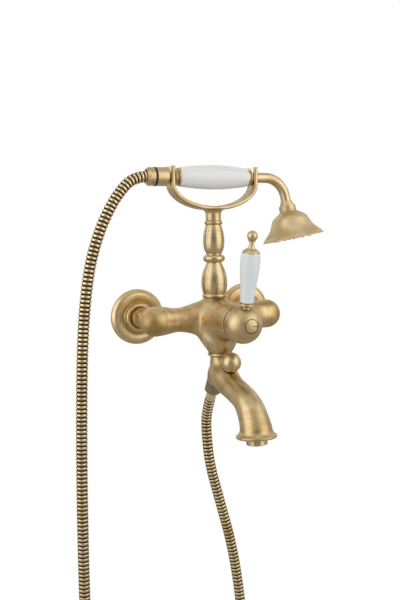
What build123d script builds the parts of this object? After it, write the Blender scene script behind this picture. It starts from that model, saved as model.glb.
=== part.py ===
from build123d import *
import math
import os

# Wall mounted bath mixer with a swan neck hand shower in a fork.
# Millimetres. The wall is the plane y = 0, the front is towards -y and +z is up.
# The origin lies on the wall, midway between the two water inlets.

# Inlets and wall rosettes
INLET_PITCH = 150.0
STUD_R = 10.48
STUD_LENGTH = 20.0
WATER_R = 6.5
FLANGE_R = 34.2
FLANGE_RIM_H = 8.6
FLANGE_GROOVE_H = 7.4
FLANGE_RING_R = 18.3
FLANGE_RING_H = 14.0
FLANGE_WALL = 2.0
NUT_FLATS = 25.2
NUT_START = 22.2
NUT_LENGTH = 17.8
NUT_LIP = 4.0
UNION_R = 12.4
UNION_THREAD_R = 10.4
WASHER_T = 2.0
FIT = 0.05

# Mixer body
ARM_REACH = 60.0
ARM_BALL_R = 17.7
ARM_TIP_R = 1.0
ARM_WAIST_R = 14.4
ARM_WAIST_X = 46.0
ARM_FLARE_R = 18.8
ARM_FLARE_X = 24.0
ARM_ROOT_R = 23.0
SPIGOT_R = 9.0
BODY_FILLET = 3.0
COLUMN_REACH = 67.0
TOP_BOSS_R = 12.9
TOP_BOSS_Z = 25.5
BOTTOM_BOSS_REACH = 80.0
BOTTOM_BOSS_R = 13.6
BOTTOM_BOSS_Z = -39.5

# Lever ball and its socket in the barrel of the body
BALL_REACH = 138.0
BALL_R = 21.8
BALL_WALL = 3.3
BALL_GAP = 0.4
BALL_REAR = 16.0
HUB_REAR = 6.5
BARREL_REACH = BALL_REACH - 10.0
BARREL_RIM_R = BALL_R - 1.5
BARREL_ROOT_R = 24.0

# Cartridge, stations are distances from the wall
CARTRIDGE_R = 17.0
CARTRIDGE_WALL = 1.6
CARTRIDGE_FRONT = 115.0
CARTRIDGE_NUT_T = 4.5
ROTOR_T = 4.0
CHEEK_R = 6.0
TAIL_THICKNESS = 4.0
TAIL_LENGTH = 33.0
TAIL_TIP_R = 2.4
PIN_R = 1.6
CARRIER_T = 4.0
DISC_T = 3.5
MOVING_DISC_R = 9.6
TILT = 18.0
TONGUE = 6.0
TONGUE_LENGTH = 9.0
SCREW_R = 1.5
RUN_GAP = 0.1
MOVE_GAP = 0.4

# Lever arm
LEVER_LEAN = 11.0
LEVER_FOOT_REACH = 142.5
LEVER_STEM_R = 4.6
LEVER_TIE_R = 2.5
LEVER_FERRULE_R = 8.4
LEVER_FERRULE_START = BALL_R + 0.2
LEVER_FERRULE_T = 5.0
SLEEVE_LENGTH = 55.5
SLEEVE_FOOT_R = 7.8
SLEEVE_R = 11.0
SLEEVE_TOP_R = 10.2
FINIAL_R = 5.9
FINIAL_HEIGHT = 24.2
FINIAL_NECK_R = 2.7
FINIAL_RING_R = 4.1
TIE_DEPTH = 3.0
PLUG_R = 8.2
PLUG_T = 3.0
PLUG_SEAM = 0.7
PLUG_LINE = 1.0
PLUG_SINK = 0.3

# Column and fork
COLUMN_RING_R = 14.9
COLUMN_LOWER_R = 15.6
COLUMN_NECK_R = 9.2
COLUMN_BEAD_R = 13.2
COLUMN_UPPER_R = 12.9
COLUMN_TOP_R = 10.8
COLUMN_HEIGHT = 91.5
COLUMN_STUD_R = 5.0
FORK_STEM_R = 9.2
FORK_STEM_H = 11.9
FORK_BASE_Z = TOP_BOSS_Z + COLUMN_HEIGHT + FORK_STEM_H
FORK_T = 5.0
FORK_INSIDE_DROP = 26.0
FORK_WIDTH = 19.6
FORK_ROUND = 1.9
FORK_TIP = 12.2

# Handset
HANDSET_Z = FORK_BASE_Z + 38.9
FORK_TOP_Z = HANDSET_Z + FORK_TIP
NECK_R = 6.2
NECK_BORE_R = 4.4
SLOT_GAP = 0.5
HEAD_TURN = 5.9
HANDLE_LENGTH = 88.0
HANDLE_R = 14.3
HANDLE_END_R = 10.9
CORE_R = 4.0
CORE_BORE_R = 3.0
FERRULE_R = 10.2
FERRULE_LENGTH = 7.0
FORK_HALF_INSIDE = HANDLE_LENGTH / 2 + FERRULE_LENGTH + SLOT_GAP
CONNECTOR_R = 10.8
CONNECTOR_END = FORK_HALF_INSIDE + FORK_T + 2.5
CONNECTOR_LENGTH = 14.6
NECK_STRAIGHT = FORK_HALF_INSIDE + FORK_T + 15.4
NECK_BEND_R = 26.7
NECK_BEND = 80.6
NECK_DROP = 13.0
COLLAR_R = 10.4
COLLAR_CONE = 6.0
COLLAR_H = 7.2
BELL_R = 38.2
BELL_HEIGHT = 33.6
BELL_WALL = 2.0
PLATE_T = 2.5
PLATE_HOLE_R = 26.0
NOZZLE_RINGS = ((10.0, 6), (22.0, 12))
NOZZLE_R = 1.3
NOZZLE_H = 2.2

# Spout
COLLAR_RING_R = 15.0
COLLAR_RING_T = 4.2
SPOUT_NECK_R = 12.0
SPOUT_SPIGOT_R = 9.0
SPOUT_SPIGOT = 9.0
OUTLET_REACH = 165.5
OUTLET_Z = -113.5
OUTLET_R = 18.2
OUTLET_TILT = 6.0
LIP_R = 23.0
LIP_DROP = 9.4
AERATOR_R = 11.8
AERATOR_SHOW = 7.4
AERATOR_LENGTH = 16.0
GASKET_T = 1.5
AIR_SLOTS = 14
AIR_SLOT = 1.5
SPOUT_WATER_R = 5.5

# Diverter
DIVERTER_Z = -48.0
CHAMBER_R = 3.4
ROD_R = 1.8
KNOB_R = 11.9
KNOB_REACH = 107.6
PULL = 8.0
BONNET_R = 4.2
BONNET_SEAT = 94.6
ROD_TAIL_R = 1.0
KNOB_GAP = 0.6

# Hose
HOSE_R = 7.0
HOSE_GROOVE_R = 6.2
HOSE_BORE_R = 4.6
HOSE_RIBS = 72
HOSE_RIB = ((0.22, HOSE_GROOVE_R), (0.35, HOSE_R), (0.87, HOSE_R), (1.0, HOSE_GROOVE_R))
HOSE_LEAD = 25.8
HOSE_UPPER_LEAD = 18.5
HOSE_ROUTE = (
    (1.0, -36.2, -153.5), (5.0, -35.5, -191.0), (18.0, -36.0, -240.0), (36.0, -38.0, -310.0),
    (46.0, -42.0, -400.0), (45.5, -47.0, -488.0), (33.0, -51.0, -570.0), (-6.0, -54.0, -627.4),
    (-71.0, -57.0, -648.0), (-130.0, -60.0, -619.0), (-160.5, -63.0, -555.0), (-170.5, -65.0, -446.0),
    (-172.5, -66.0, -325.0), (-171.5, -66.5, -200.0), (-168.5, -66.5, -90.0), (-164.0, -66.5, 0.0),
    (-155.5, -66.8, 62.0), (-146.0, -67.0, 95.0), (-134.0, -67.0, 123.5), (-117.8, -67.0, 149.5),
)
OUTLET_LEAN = 30.0
OUTLET_FOOT = (0.0, -76.3, -57.4)
OUTLET_BOSS = 24.5
OUTLET_BOSS_R = 11.6
HOSE_THREAD_R = 8.6
HOSE_THREAD = 7.0
LOWER_NUT_R = 9.9
LOWER_NUT_LENGTH = 14.0
HOSE_LIP = 3.2
LOWER_FERRULE_R = 6.2
LOWER_FERRULE_END = 51.5
UPPER_NUT_R = 10.6
UPPER_NUT_LENGTH = 9.4
NUT_HOLE_R = 1.0
SWIVEL_T = 1.7
UPPER_THREAD = 1.8
UPPER_FLANGE_T = 1.2

DEG = math.pi / 180


def turned(outline, place=Plane.XY):
    """Turn a closed outline of (radius, height) about the z axis of a place."""
    return place * revolve(Plane.XZ * make_face(outline), Axis.Z)


def pipe(outer, inner, low, high):
    """Outline of a plain tube from a low to a high station."""
    return Polyline((inner, low), (outer, low), (outer, high), (inner, high), (inner, low))


def rod(radius, low, high):
    """Outline of a plain rod from a low to a high station."""
    return Polyline((0, low), (radius, low), (radius, high), (0, high), (0, low))


def outward(x, z=0.0):
    """Place on the wall whose z axis points out of the wall."""
    return Plane((x, 0, z), x_dir=(1, 0, 0), z_dir=(0, -1, 0))


ALONG_X = Plane((0, -COLUMN_REACH, HANDSET_Z), x_dir=(0, 0, 1), z_dir=(1, 0, 0))
LEVER_DIR = (0, -math.sin(LEVER_LEAN * DEG), math.cos(LEVER_LEAN * DEG))
LEVER = Plane((0, -LEVER_FOOT_REACH, 0), x_dir=(1, 0, 0), z_dir=LEVER_DIR)
COLUMN = Plane((0, -COLUMN_REACH, TOP_BOSS_Z))
HOSE_DIR = (0, math.sin(OUTLET_LEAN * DEG), -math.cos(OUTLET_LEAN * DEG))
HOSE_OUTLET = Plane(OUTLET_FOOT, x_dir=(1, 0, 0), z_dir=HOSE_DIR)
PIVOT = (0, -BALL_REACH, 0)

parts = {}


# Wall rosettes, unions and union nuts
def flange(x):
    """Hollow rosette with a broad rounded band, a groove and a raised ring that closes on the union."""
    bore = UNION_R + FIT
    crest = (FLANGE_RING_R + bore) / 2
    edge = (FLANGE_R, 2.2)
    groove = (FLANGE_RING_R + 1.2, FLANGE_GROOVE_H)
    mouth = (bore, FLANGE_RING_H - 1.6)
    ceiling = FLANGE_RIM_H - FLANGE_WALL
    shelf = FLANGE_GROOVE_H - FLANGE_WALL
    outline = Curve() + [
        Line((FLANGE_R, 0), edge),
        Spline(edge, (FLANGE_R - 1.2, 5.2), (FLANGE_R - 4.0, FLANGE_RIM_H - 1.0),
               (FLANGE_R - 7.7, FLANGE_RIM_H), (FLANGE_R - 11.7, FLANGE_RIM_H - 0.2), groove,
               tangents=((0, 1), (-1, -0.5))),
        Spline(groove, (FLANGE_RING_R, FLANGE_GROOVE_H + 1.6), (FLANGE_RING_R - 0.6, FLANGE_RING_H - 1.8),
               (crest, FLANGE_RING_H), mouth, tangents=((-0.8, 0.6), (-0.5, -1))),
        Polyline(mouth, (bore, shelf), (FLANGE_RING_R + 2.0, shelf), (FLANGE_R - 7.7, ceiling),
                 (FLANGE_R - 4.4, ceiling - 1.0), (FLANGE_R - FLANGE_WALL - 0.6, 3.2),
                 (FLANGE_R - FLANGE_WALL, 0), (FLANGE_R, 0)),
    ]
    return turned(outline, outward(x))


def union(x):
    """Union with a stud into the wall and a thread for the union nut."""
    front = ARM_REACH - ARM_BALL_R - NUT_LIP - 2 * WASHER_T - 3.0
    outline = Polyline(
        (WATER_R, -STUD_LENGTH), (STUD_R, -STUD_LENGTH), (STUD_R, 0), (UNION_R, 0),
        (UNION_R, NUT_START - 1.0), (UNION_THREAD_R, NUT_START - 1.0), (UNION_THREAD_R, front),
        (WATER_R, front), (WATER_R, -STUD_LENGTH))
    return turned(outline, outward(x)), front


def union_nut(x):
    """Hexagon nut that draws the body's spigot onto the union."""
    end = NUT_START + NUT_LENGTH
    corner = NUT_FLATS / 2 / math.cos(30 * DEG)
    hexagon = outward(x).offset(NUT_START) * extrude(RegularPolygon(corner, 6, rotation=30), NUT_LENGTH)
    chamfered = turned(Polyline(
        (0, NUT_START), (corner - 1.0, NUT_START), (corner + 0.6, NUT_START + 1.6), (corner + 0.6, end - 1.6),
        (corner - 1.0, end), (0, end), (0, NUT_START)), outward(x))
    bore = turned(rod(UNION_THREAD_R + FIT, NUT_START, end - NUT_LIP), outward(x))
    mouth = turned(rod(SPIGOT_R + FIT, NUT_START, end), outward(x))
    return (hexagon & chamfered) - bore - mouth


washers = []
for side, x in (("left", -INLET_PITCH / 2), ("right", INLET_PITCH / 2)):
    parts["flange_" + side] = flange(x)
    parts["union_" + side], union_front = union(x)
    parts["union_nut_" + side] = union_nut(x)
    washer = pipe(UNION_THREAD_R - 0.3, WATER_R, union_front, union_front + WASHER_T)
    washers.append(turned(washer, outward(x)))
parts["union_washers"] = Compound(washers)


# Cast mixer body
def is_seam(edge, faces):
    """True for an edge where two curved faces near the middle of the body meet."""
    beside = [face for face in faces if any(edge.is_same(other) for other in face.edges())]
    curved = all(face.geom_type in (GeomType.BSPLINE, GeomType.REVOLUTION) for face in beside)
    return len(beside) == 2 and curved and abs(edge.center().X) < ARM_WAIST_X


def rounded(body, seams):
    """Body with its seams rounded, by less where the full radius does not fit."""
    for radius in (BODY_FILLET, BODY_FILLET / 2, BODY_FILLET / 4):
        try:
            return fillet(seams, radius)
        except ValueError:
            continue
    return body


def mixer_body():
    """Arms with ball ends, a bulb between two bosses, and a barrel for the cartridge."""
    half = INLET_PITCH / 2
    end = half + math.sqrt(ARM_BALL_R ** 2 - ARM_TIP_R ** 2)
    cap = ARM_BALL_R * math.sqrt(0.5)
    arm_axis = Plane((0, -ARM_REACH, 0), x_dir=(0, 0, 1), z_dir=(1, 0, 0))
    arms = turned(Curve() + [
        ThreePointArc((ARM_TIP_R, -end), (cap, -half - cap), (ARM_BALL_R, -half)),
        Spline((ARM_BALL_R, -half), (ARM_WAIST_R, -ARM_WAIST_X), (ARM_FLARE_R, -ARM_FLARE_X),
               (ARM_ROOT_R, 0), (ARM_FLARE_R, ARM_FLARE_X), (ARM_WAIST_R, ARM_WAIST_X), (ARM_BALL_R, half),
               tangents=((0, 1), (0, 1))),
        ThreePointArc((ARM_BALL_R, half), (cap, half + cap), (ARM_TIP_R, end)),
        Polyline((ARM_TIP_R, end), (0, end), (0, -end), (ARM_TIP_R, -end)),
    ], arm_axis)
    bulb_rings = (
        (TOP_BOSS_Z, COLUMN_REACH, TOP_BOSS_R),
        (TOP_BOSS_Z - 3.5, COLUMN_REACH, TOP_BOSS_R + 3.4),
        (TOP_BOSS_Z - 8.0, COLUMN_REACH, TOP_BOSS_R + 7.4),
        (8.0, COLUMN_REACH + 1.0, 23.0),
        (-8.0, COLUMN_REACH + 4.0, 25.4),
        (BOTTOM_BOSS_Z + 17.0, BOTTOM_BOSS_REACH - 4.0, 23.8),
        (BOTTOM_BOSS_Z + 7.5, BOTTOM_BOSS_REACH - 0.8, BOTTOM_BOSS_R + 5.2),
        (BOTTOM_BOSS_Z + 3.5, BOTTOM_BOSS_REACH, BOTTOM_BOSS_R + 2.6),
        (BOTTOM_BOSS_Z, BOTTOM_BOSS_REACH, BOTTOM_BOSS_R),
    )
    bulb = loft([Plane((0, -reach, z)) * Circle(r) for z, reach, r in bulb_rings])
    barrel = turned(Curve() + [
        Spline((BARREL_ROOT_R, COLUMN_REACH), (BARREL_ROOT_R - 1.4, COLUMN_REACH + 28.0),
               (BARREL_RIM_R + 0.6, BARREL_REACH - 12.0), (BARREL_RIM_R, BARREL_REACH)),
        Polyline((BARREL_RIM_R, BARREL_REACH), (0, BARREL_REACH), (0, COLUMN_REACH),
                 (BARREL_ROOT_R, COLUMN_REACH)),
    ], outward(0))
    body = arms + bulb + barrel
    body = rounded(body, [edge for edge in body.edges() if is_seam(edge, body.faces())])
    for x in (-half, half):
        lip = union_front + WASHER_T
        spigot = rod(SPIGOT_R, lip, ARM_REACH)
        body += turned(spigot, outward(x))
        body += turned(rod(UNION_THREAD_R - 0.3, lip, NUT_START + NUT_LENGTH - NUT_LIP), outward(x))
    return body


CARTRIDGE_REAR = CARTRIDGE_FRONT - 26.5


def body_bores():
    """Water ways, cartridge bore, ball socket and the two boss sockets."""
    half = INLET_PITCH / 2
    bores = turned(rod(CARTRIDGE_R + FIT, CARTRIDGE_REAR, BARREL_REACH), outward(0))
    bores += Pos(*PIVOT) * Sphere(BALL_R + BALL_GAP)
    for x in (-half, half):
        bores += turned(rod(WATER_R, 0, ARM_REACH), outward(x))
        across = Plane((x, -ARM_REACH, 0), x_dir=(0, 0, 1), z_dir=(-math.copysign(1, x), 0, 0))
        bores += turned(rod(WATER_R, 0, half - 10.0), across)
        inner = math.copysign(10.0 - WATER_R + 3.0, x)
        bores += turned(rod(2.5, ARM_REACH, CARTRIDGE_REAR + 0.5), outward(inner))
    bores += Pos(0, -COLUMN_REACH, TOP_BOSS_Z - 11.0) * Cylinder(
        COLUMN_STUD_R + FIT, 12.0, align=(Align.CENTER, Align.CENTER, Align.MIN))
    socket_r = SPOUT_SPIGOT_R + FIT
    socket_top = BOTTOM_BOSS_Z + SPOUT_SPIGOT + GASKET_T
    bores += turned(Polyline(
        (0, BOTTOM_BOSS_Z - 1.0), (socket_r, BOTTOM_BOSS_Z - 1.0), (socket_r, socket_top), (3.5, socket_top),
        (3.5, -3.5), (0, -3.5), (0, BOTTOM_BOSS_Z - 1.0)), Plane((0, -BOTTOM_BOSS_REACH, 0)))
    bores += turned(rod(2.6, BOTTOM_BOSS_REACH, CARTRIDGE_REAR + 0.5), outward(0, -8.0))
    return bores


parts["mixer_body"] = mixer_body() - body_bores()


# Cartridge, from the front to the rear
NUT_REAR = CARTRIDGE_FRONT - CARTRIDGE_NUT_T
ROTOR_REAR = NUT_REAR - RUN_GAP - ROTOR_T
CARRIER_REAR = ROTOR_REAR - RUN_GAP - CARRIER_T
MOVING_REAR = CARRIER_REAR - DISC_T
FIXED_REAR = MOVING_REAR - RUN_GAP - DISC_T
HOUSING_IN = CARTRIDGE_R - CARTRIDGE_WALL
SEAL_T = 1.5
HOUSING_REAR = CARTRIDGE_REAR + SEAL_T
DISC_SHIFT = TAIL_LENGTH * math.sin(TILT / 2 * DEG)


def cartridge():
    """Nut, housing, discs, carrier, rotor with its pin, and the spindle."""
    front = outward(0)
    parts["cartridge_nut"] = turned(pipe(CARTRIDGE_R, CHEEK_R + 3.0, NUT_REAR, CARTRIDGE_FRONT), front)
    cup = turned(Polyline(
        (0, HOUSING_REAR), (CARTRIDGE_R, HOUSING_REAR), (CARTRIDGE_R, NUT_REAR), (HOUSING_IN, NUT_REAR),
        (HOUSING_IN, FIXED_REAR), (0, FIXED_REAR), (0, HOUSING_REAR)), front)
    ports = [(-7.0, 5.0), (7.0, 5.0), (0.0, -8.0)]
    for x, z in ports:
        cup -= turned(rod(2.6, HOUSING_REAR, FIXED_REAR), outward(x, z))
    parts["cartridge_housing"] = cup
    rings = [turned(pipe(4.2, 2.8, CARTRIDGE_REAR, HOUSING_REAR), outward(x, z)) for x, z in ports]
    parts["cartridge_seals"] = Compound(rings)
    fixed = turned(rod(HOUSING_IN - FIT, FIXED_REAR, MOVING_REAR - RUN_GAP), front)
    for x, z in ports:
        fixed -= turned(rod(2.6, FIXED_REAR, MOVING_REAR), outward(x, z))
    parts["cartridge_fixed_disc"] = fixed
    shifted = outward(0, -DISC_SHIFT)
    parts["cartridge_moving_disc"] = turned(rod(MOVING_DISC_R, MOVING_REAR, CARRIER_REAR), shifted)
    socket = shifted * Pos(0, 0, CARRIER_REAR) * Box(
        TAIL_THICKNESS + 2 * MOVE_GAP, 2 * (TAIL_TIP_R + MOVE_GAP), 3 * CARRIER_T)
    parts["cartridge_carrier"] = turned(
        rod(MOVING_DISC_R, CARRIER_REAR, CARRIER_REAR + CARRIER_T), shifted) - socket
    rotor = turned(rod(HOUSING_IN - MOVE_GAP, ROTOR_REAR, NUT_REAR - RUN_GAP), front)
    rotor += turned(rod(CHEEK_R, NUT_REAR - RUN_GAP, BALL_REACH), front)
    rotor += Pos(*PIVOT) * Rot(0, 90, 0) * Cylinder(4.0, 2 * math.sqrt(CHEEK_R ** 2 - 16.0))
    slot_length = 2 * (BALL_REACH - ROTOR_REAR + 1)
    rotor -= Pos(0, -BALL_REACH, 0) * Box(TAIL_THICKNESS + 2 * MOVE_GAP, slot_length, 20.0)
    parts["cartridge_rotor"] = rotor - Pos(*PIVOT) * Rot(0, 90, 0) * Cylinder(PIN_R + FIT / 2, 4 * CHEEK_R)
    parts["cartridge_pin"] = Pos(*PIVOT) * Rot(0, 90, 0) * Cylinder(PIN_R, 2 * CHEEK_R - 1.0)


def spindle():
    """Blade on the cross pin, with a tail for the carrier and a square tongue for the lever."""
    blade_r = 3.4
    hub = Rot(0, 90, 0) * Cylinder(blade_r, TAIL_THICKNESS)
    tail = Pos(0, TAIL_LENGTH / 2, 0) * Box(TAIL_THICKNESS, TAIL_LENGTH, 2.6)
    tip = Pos(0, TAIL_LENGTH, 0) * Rot(0, 90, 0) * Cylinder(TAIL_TIP_R, TAIL_THICKNESS)
    tail = Rot(-TILT / 2, 0, 0) * (tail + tip)
    neck = Pos(0, -HUB_REAR / 2, 0) * Box(TAIL_THICKNESS, HUB_REAR, TONGUE)
    tongue = Pos(0, -HUB_REAR - TONGUE_LENGTH / 2, 0) * Box(TONGUE, TONGUE_LENGTH, TONGUE)
    whole = Pos(*PIVOT) * (hub + tail + neck + tongue)
    whole -= turned(rod(SCREW_R, BALL_REACH + HUB_REAR + 3.0, BALL_REACH + BALL_R), outward(0))
    return whole - Pos(*PIVOT) * Rot(0, 90, 0) * Cylinder(PIN_R + FIT / 2, 4 * CHEEK_R)


cartridge()
parts["cartridge_spindle"] = spindle()


# Lever: ball, screw, plug and the arm with its porcelain sleeve
PLUG_REAR = BALL_REACH + BALL_R - PLUG_T
SCREW_HEAD_R = SCREW_R + 1.3
SCREW_SEAT = PLUG_REAR - 2.0


def lever_ball():
    """Hollow ball, open at the rear, with a hub for the spindle and a socket for the stem."""
    inside = BALL_R - BALL_WALL
    mouth_r = (CHEEK_R + 2 * MOVE_GAP + BALL_REAR * math.sin(TILT * DEG)) / math.cos(TILT * DEG)
    rear = turned(rod(2 * BALL_R, 0, BALL_REACH - BALL_REAR), outward(0))
    rear += turned(rod(mouth_r, 0, BALL_REACH), outward(0))
    shell = Pos(*PIVOT) * (Sphere(BALL_R) - Sphere(inside))
    hub = turned(rod(TONGUE + 1.0, BALL_REACH + HUB_REAR, BALL_REACH + BALL_R), outward(0))
    hub &= Pos(*PIVOT) * Sphere(BALL_R - 1)
    stem_boss = turned(rod(LEVER_STEM_R + 2.5, 11.0, BALL_R), LEVER) & (Pos(*PIVOT) * Sphere(BALL_R - 1))
    ball = shell - rear + hub + stem_boss
    ball -= turned(rod(PLUG_R + FIT, BALL_REACH + BALL_R - PLUG_T, BALL_REACH + BALL_R), outward(0))
    ball -= Pos(0, -BALL_REACH - HUB_REAR - TONGUE_LENGTH / 2, 0) * Box(
        TONGUE + 2 * FIT, TONGUE_LENGTH + 2 * FIT, TONGUE + 2 * FIT)
    ball -= turned(rod(SCREW_R + FIT, BALL_REACH + HUB_REAR, BALL_REACH + BALL_R), outward(0))
    ball -= turned(rod(SCREW_HEAD_R + FIT, SCREW_SEAT, BALL_REACH + BALL_R), outward(0))
    return ball - turned(rod(LEVER_TIE_R + 1.0 + FIT, 10.0, 40.0), LEVER)


SLEEVE_FOOT = LEVER_FERRULE_START + LEVER_FERRULE_T
SLEEVE_END = SLEEVE_FOOT + SLEEVE_LENGTH


def lever_arm():
    """Stem with its tie rod, ferrule, porcelain sleeve and finial."""
    start = LEVER_FERRULE_START
    tie = LEVER_TIE_R
    parts["lever_stem"] = turned(Polyline(
        (0, 12.0), (tie + 1.0, 12.0), (tie + 1.0, start + 1.0), (tie, start + 2.0),
        (tie, SLEEVE_END + TIE_DEPTH), (0, SLEEVE_END + TIE_DEPTH), (0, 12.0)), LEVER)
    bore = tie + FIT
    ferrule = turned(Curve() + [
        Polyline((tie + 1.0 + FIT, 15.0), (LEVER_STEM_R, 15.0), (LEVER_STEM_R, start - 0.8),
                 (LEVER_FERRULE_R - 1.0, start + 0.8)),
        ThreePointArc((LEVER_FERRULE_R - 1.0, start + 0.8), (LEVER_FERRULE_R, start + 2.0),
                      (LEVER_FERRULE_R - 0.8, start + 3.2)),
        Polyline((LEVER_FERRULE_R - 0.8, start + 3.2), (LEVER_FERRULE_R - 0.2, start + LEVER_FERRULE_T),
                 (bore, start + LEVER_FERRULE_T), (bore, start + 2.0), (tie + 1.0 + FIT, start + 1.0),
                 (tie + 1.0 + FIT, 15.0)),
    ], LEVER)
    parts["lever_ferrule"] = ferrule - Pos(*PIVOT) * Sphere(BALL_R)
    parts["lever_sleeve"] = turned(Curve() + [
        Spline((SLEEVE_FOOT_R, SLEEVE_FOOT), (SLEEVE_R - 1.1, SLEEVE_FOOT + 0.5 * SLEEVE_LENGTH),
               (SLEEVE_R, SLEEVE_FOOT + 0.82 * SLEEVE_LENGTH), (SLEEVE_TOP_R, SLEEVE_END)),
        Polyline((SLEEVE_TOP_R, SLEEVE_END), (bore + 0.5, SLEEVE_END), (bore + 0.5, SLEEVE_FOOT),
                 (SLEEVE_FOOT_R, SLEEVE_FOOT)),
    ], LEVER)
    parts["lever_finial"] = finial(bore)


def finial(bore):
    """Low dome, slender neck, ring and ball at the end of the lever."""
    dome_r = SLEEVE_TOP_R - 0.8
    neck_r = FINIAL_NECK_R
    ring_r = FINIAL_RING_R
    seat_r = ring_r - 0.9
    ball_z = SLEEVE_END + FINIAL_HEIGHT - FINIAL_R
    ring_top = ball_z - math.sqrt(FINIAL_R ** 2 - seat_r ** 2)
    ring_low = ring_top - 1.4
    roof = SLEEVE_END + TIE_DEPTH + 0.2
    return turned(Curve() + [
        Polyline((bore, SLEEVE_END), (dome_r, SLEEVE_END), (dome_r, SLEEVE_END + 0.7)),
        ThreePointArc((dome_r, SLEEVE_END + 0.7), (dome_r - 2.2, SLEEVE_END + 3.0),
                      (neck_r + 1.9, SLEEVE_END + 4.6)),
        ThreePointArc((neck_r + 1.9, SLEEVE_END + 4.6), (neck_r + 0.7, SLEEVE_END + 6.6),
                      (neck_r, SLEEVE_END + 10.0)),
        Polyline((neck_r, SLEEVE_END + 10.0), (neck_r, ring_low), (seat_r, ring_low)),
        ThreePointArc((seat_r, ring_low), (ring_r, ring_low + 0.7), (seat_r, ring_top)),
        ThreePointArc((seat_r, ring_top), (FINIAL_R, ball_z), (0, ball_z + FINIAL_R)),
        Polyline((0, ball_z + FINIAL_R), (0, roof), (bore, roof), (bore, SLEEVE_END)),
    ], LEVER)


parts["lever_ball"] = lever_ball()
lever_arm()
screw_tip = BALL_REACH + HUB_REAR + 3.2
parts["lever_screw"] = turned(Polyline(
    (0, screw_tip), (SCREW_R, screw_tip), (SCREW_R, SCREW_SEAT), (SCREW_HEAD_R, SCREW_SEAT),
    (SCREW_HEAD_R, SCREW_SEAT + 1.6), (0, SCREW_SEAT + 1.6), (0, screw_tip)), outward(0))


def index_plug():
    """Plug with a bevelled edge and a line across one half."""
    dome = Pos(*PIVOT) * Sphere(BALL_R - PLUG_SINK)
    front = BALL_REACH + BALL_R
    edge = BALL_REACH + math.sqrt((BALL_R - PLUG_SINK) ** 2 - PLUG_R ** 2)
    plug = turned(Polyline(
        (0, PLUG_REAR), (PLUG_R, PLUG_REAR), (PLUG_R, edge - PLUG_SEAM),
        (PLUG_R - PLUG_SEAM, edge + PLUG_SEAM), (PLUG_R - PLUG_SEAM, front), (0, front),
        (0, PLUG_REAR)), outward(0))
    line = Pos(PLUG_R / 2, -front, 0) * Box(PLUG_R, 2 * PLUG_T, PLUG_LINE)
    line -= Pos(*PIVOT) * Sphere(BALL_R - PLUG_SINK - 0.6)
    return (plug & dome) - line


parts["index_plug"] = index_plug()


# Column with its stud, and the fork
def column():
    """Turned pillar of two vases with a full round bead between them."""
    ring = COLUMN_RING_R - 1.2
    foot = (COLUMN_LOWER_R - 1.9, 4.4)
    z_bead, bead_half = 46.4, 4.2
    bead_r = COLUMN_NECK_R + 0.4
    low_neck = (COLUMN_NECK_R, z_bead - 5.6)
    high_neck = (COLUMN_NECK_R, z_bead + 5.6)
    top_low = COLUMN_HEIGHT - 5.2
    turning = Curve() + [
        Line((0, 0), (ring, 0)),
        ThreePointArc((ring, 0), (COLUMN_RING_R, 2.0), (ring, 4.0)),
        Line((ring, 4.0), foot),
        Spline(foot, (COLUMN_LOWER_R, 16.0), (COLUMN_LOWER_R - 2.0, 30.5), (COLUMN_LOWER_R - 4.4, 36.5),
               low_neck),
        ThreePointArc(low_neck, (COLUMN_NECK_R - 0.1, z_bead - 4.8), (bead_r, z_bead - bead_half)),
        ThreePointArc((bead_r, z_bead - bead_half), (COLUMN_BEAD_R, z_bead), (bead_r, z_bead + bead_half)),
        ThreePointArc((bead_r, z_bead + bead_half), (COLUMN_NECK_R - 0.1, z_bead + 4.8), high_neck),
        Spline(high_neck, (COLUMN_UPPER_R - 1.3, 57.5), (COLUMN_UPPER_R, 67.3), (COLUMN_UPPER_R - 1.3, 78.5),
               (FORK_STEM_R, top_low)),
        ThreePointArc((FORK_STEM_R, top_low), (COLUMN_TOP_R, COLUMN_HEIGHT - 2.6),
                      (FORK_STEM_R, COLUMN_HEIGHT)),
        Polyline((FORK_STEM_R, COLUMN_HEIGHT), (0, COLUMN_HEIGHT), (0, 0)),
    ]
    socket = COLUMN_STUD_R + FIT
    pillar = turned(turning, COLUMN) - turned(rod(socket, 0, 13.0), COLUMN)
    return pillar - turned(rod(socket, COLUMN_HEIGHT - 13.0, COLUMN_HEIGHT), COLUMN)


parts["column"] = column()
parts["column_stud"] = turned(rod(COLUMN_STUD_R, -10.5, 12.5), COLUMN)


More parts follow.
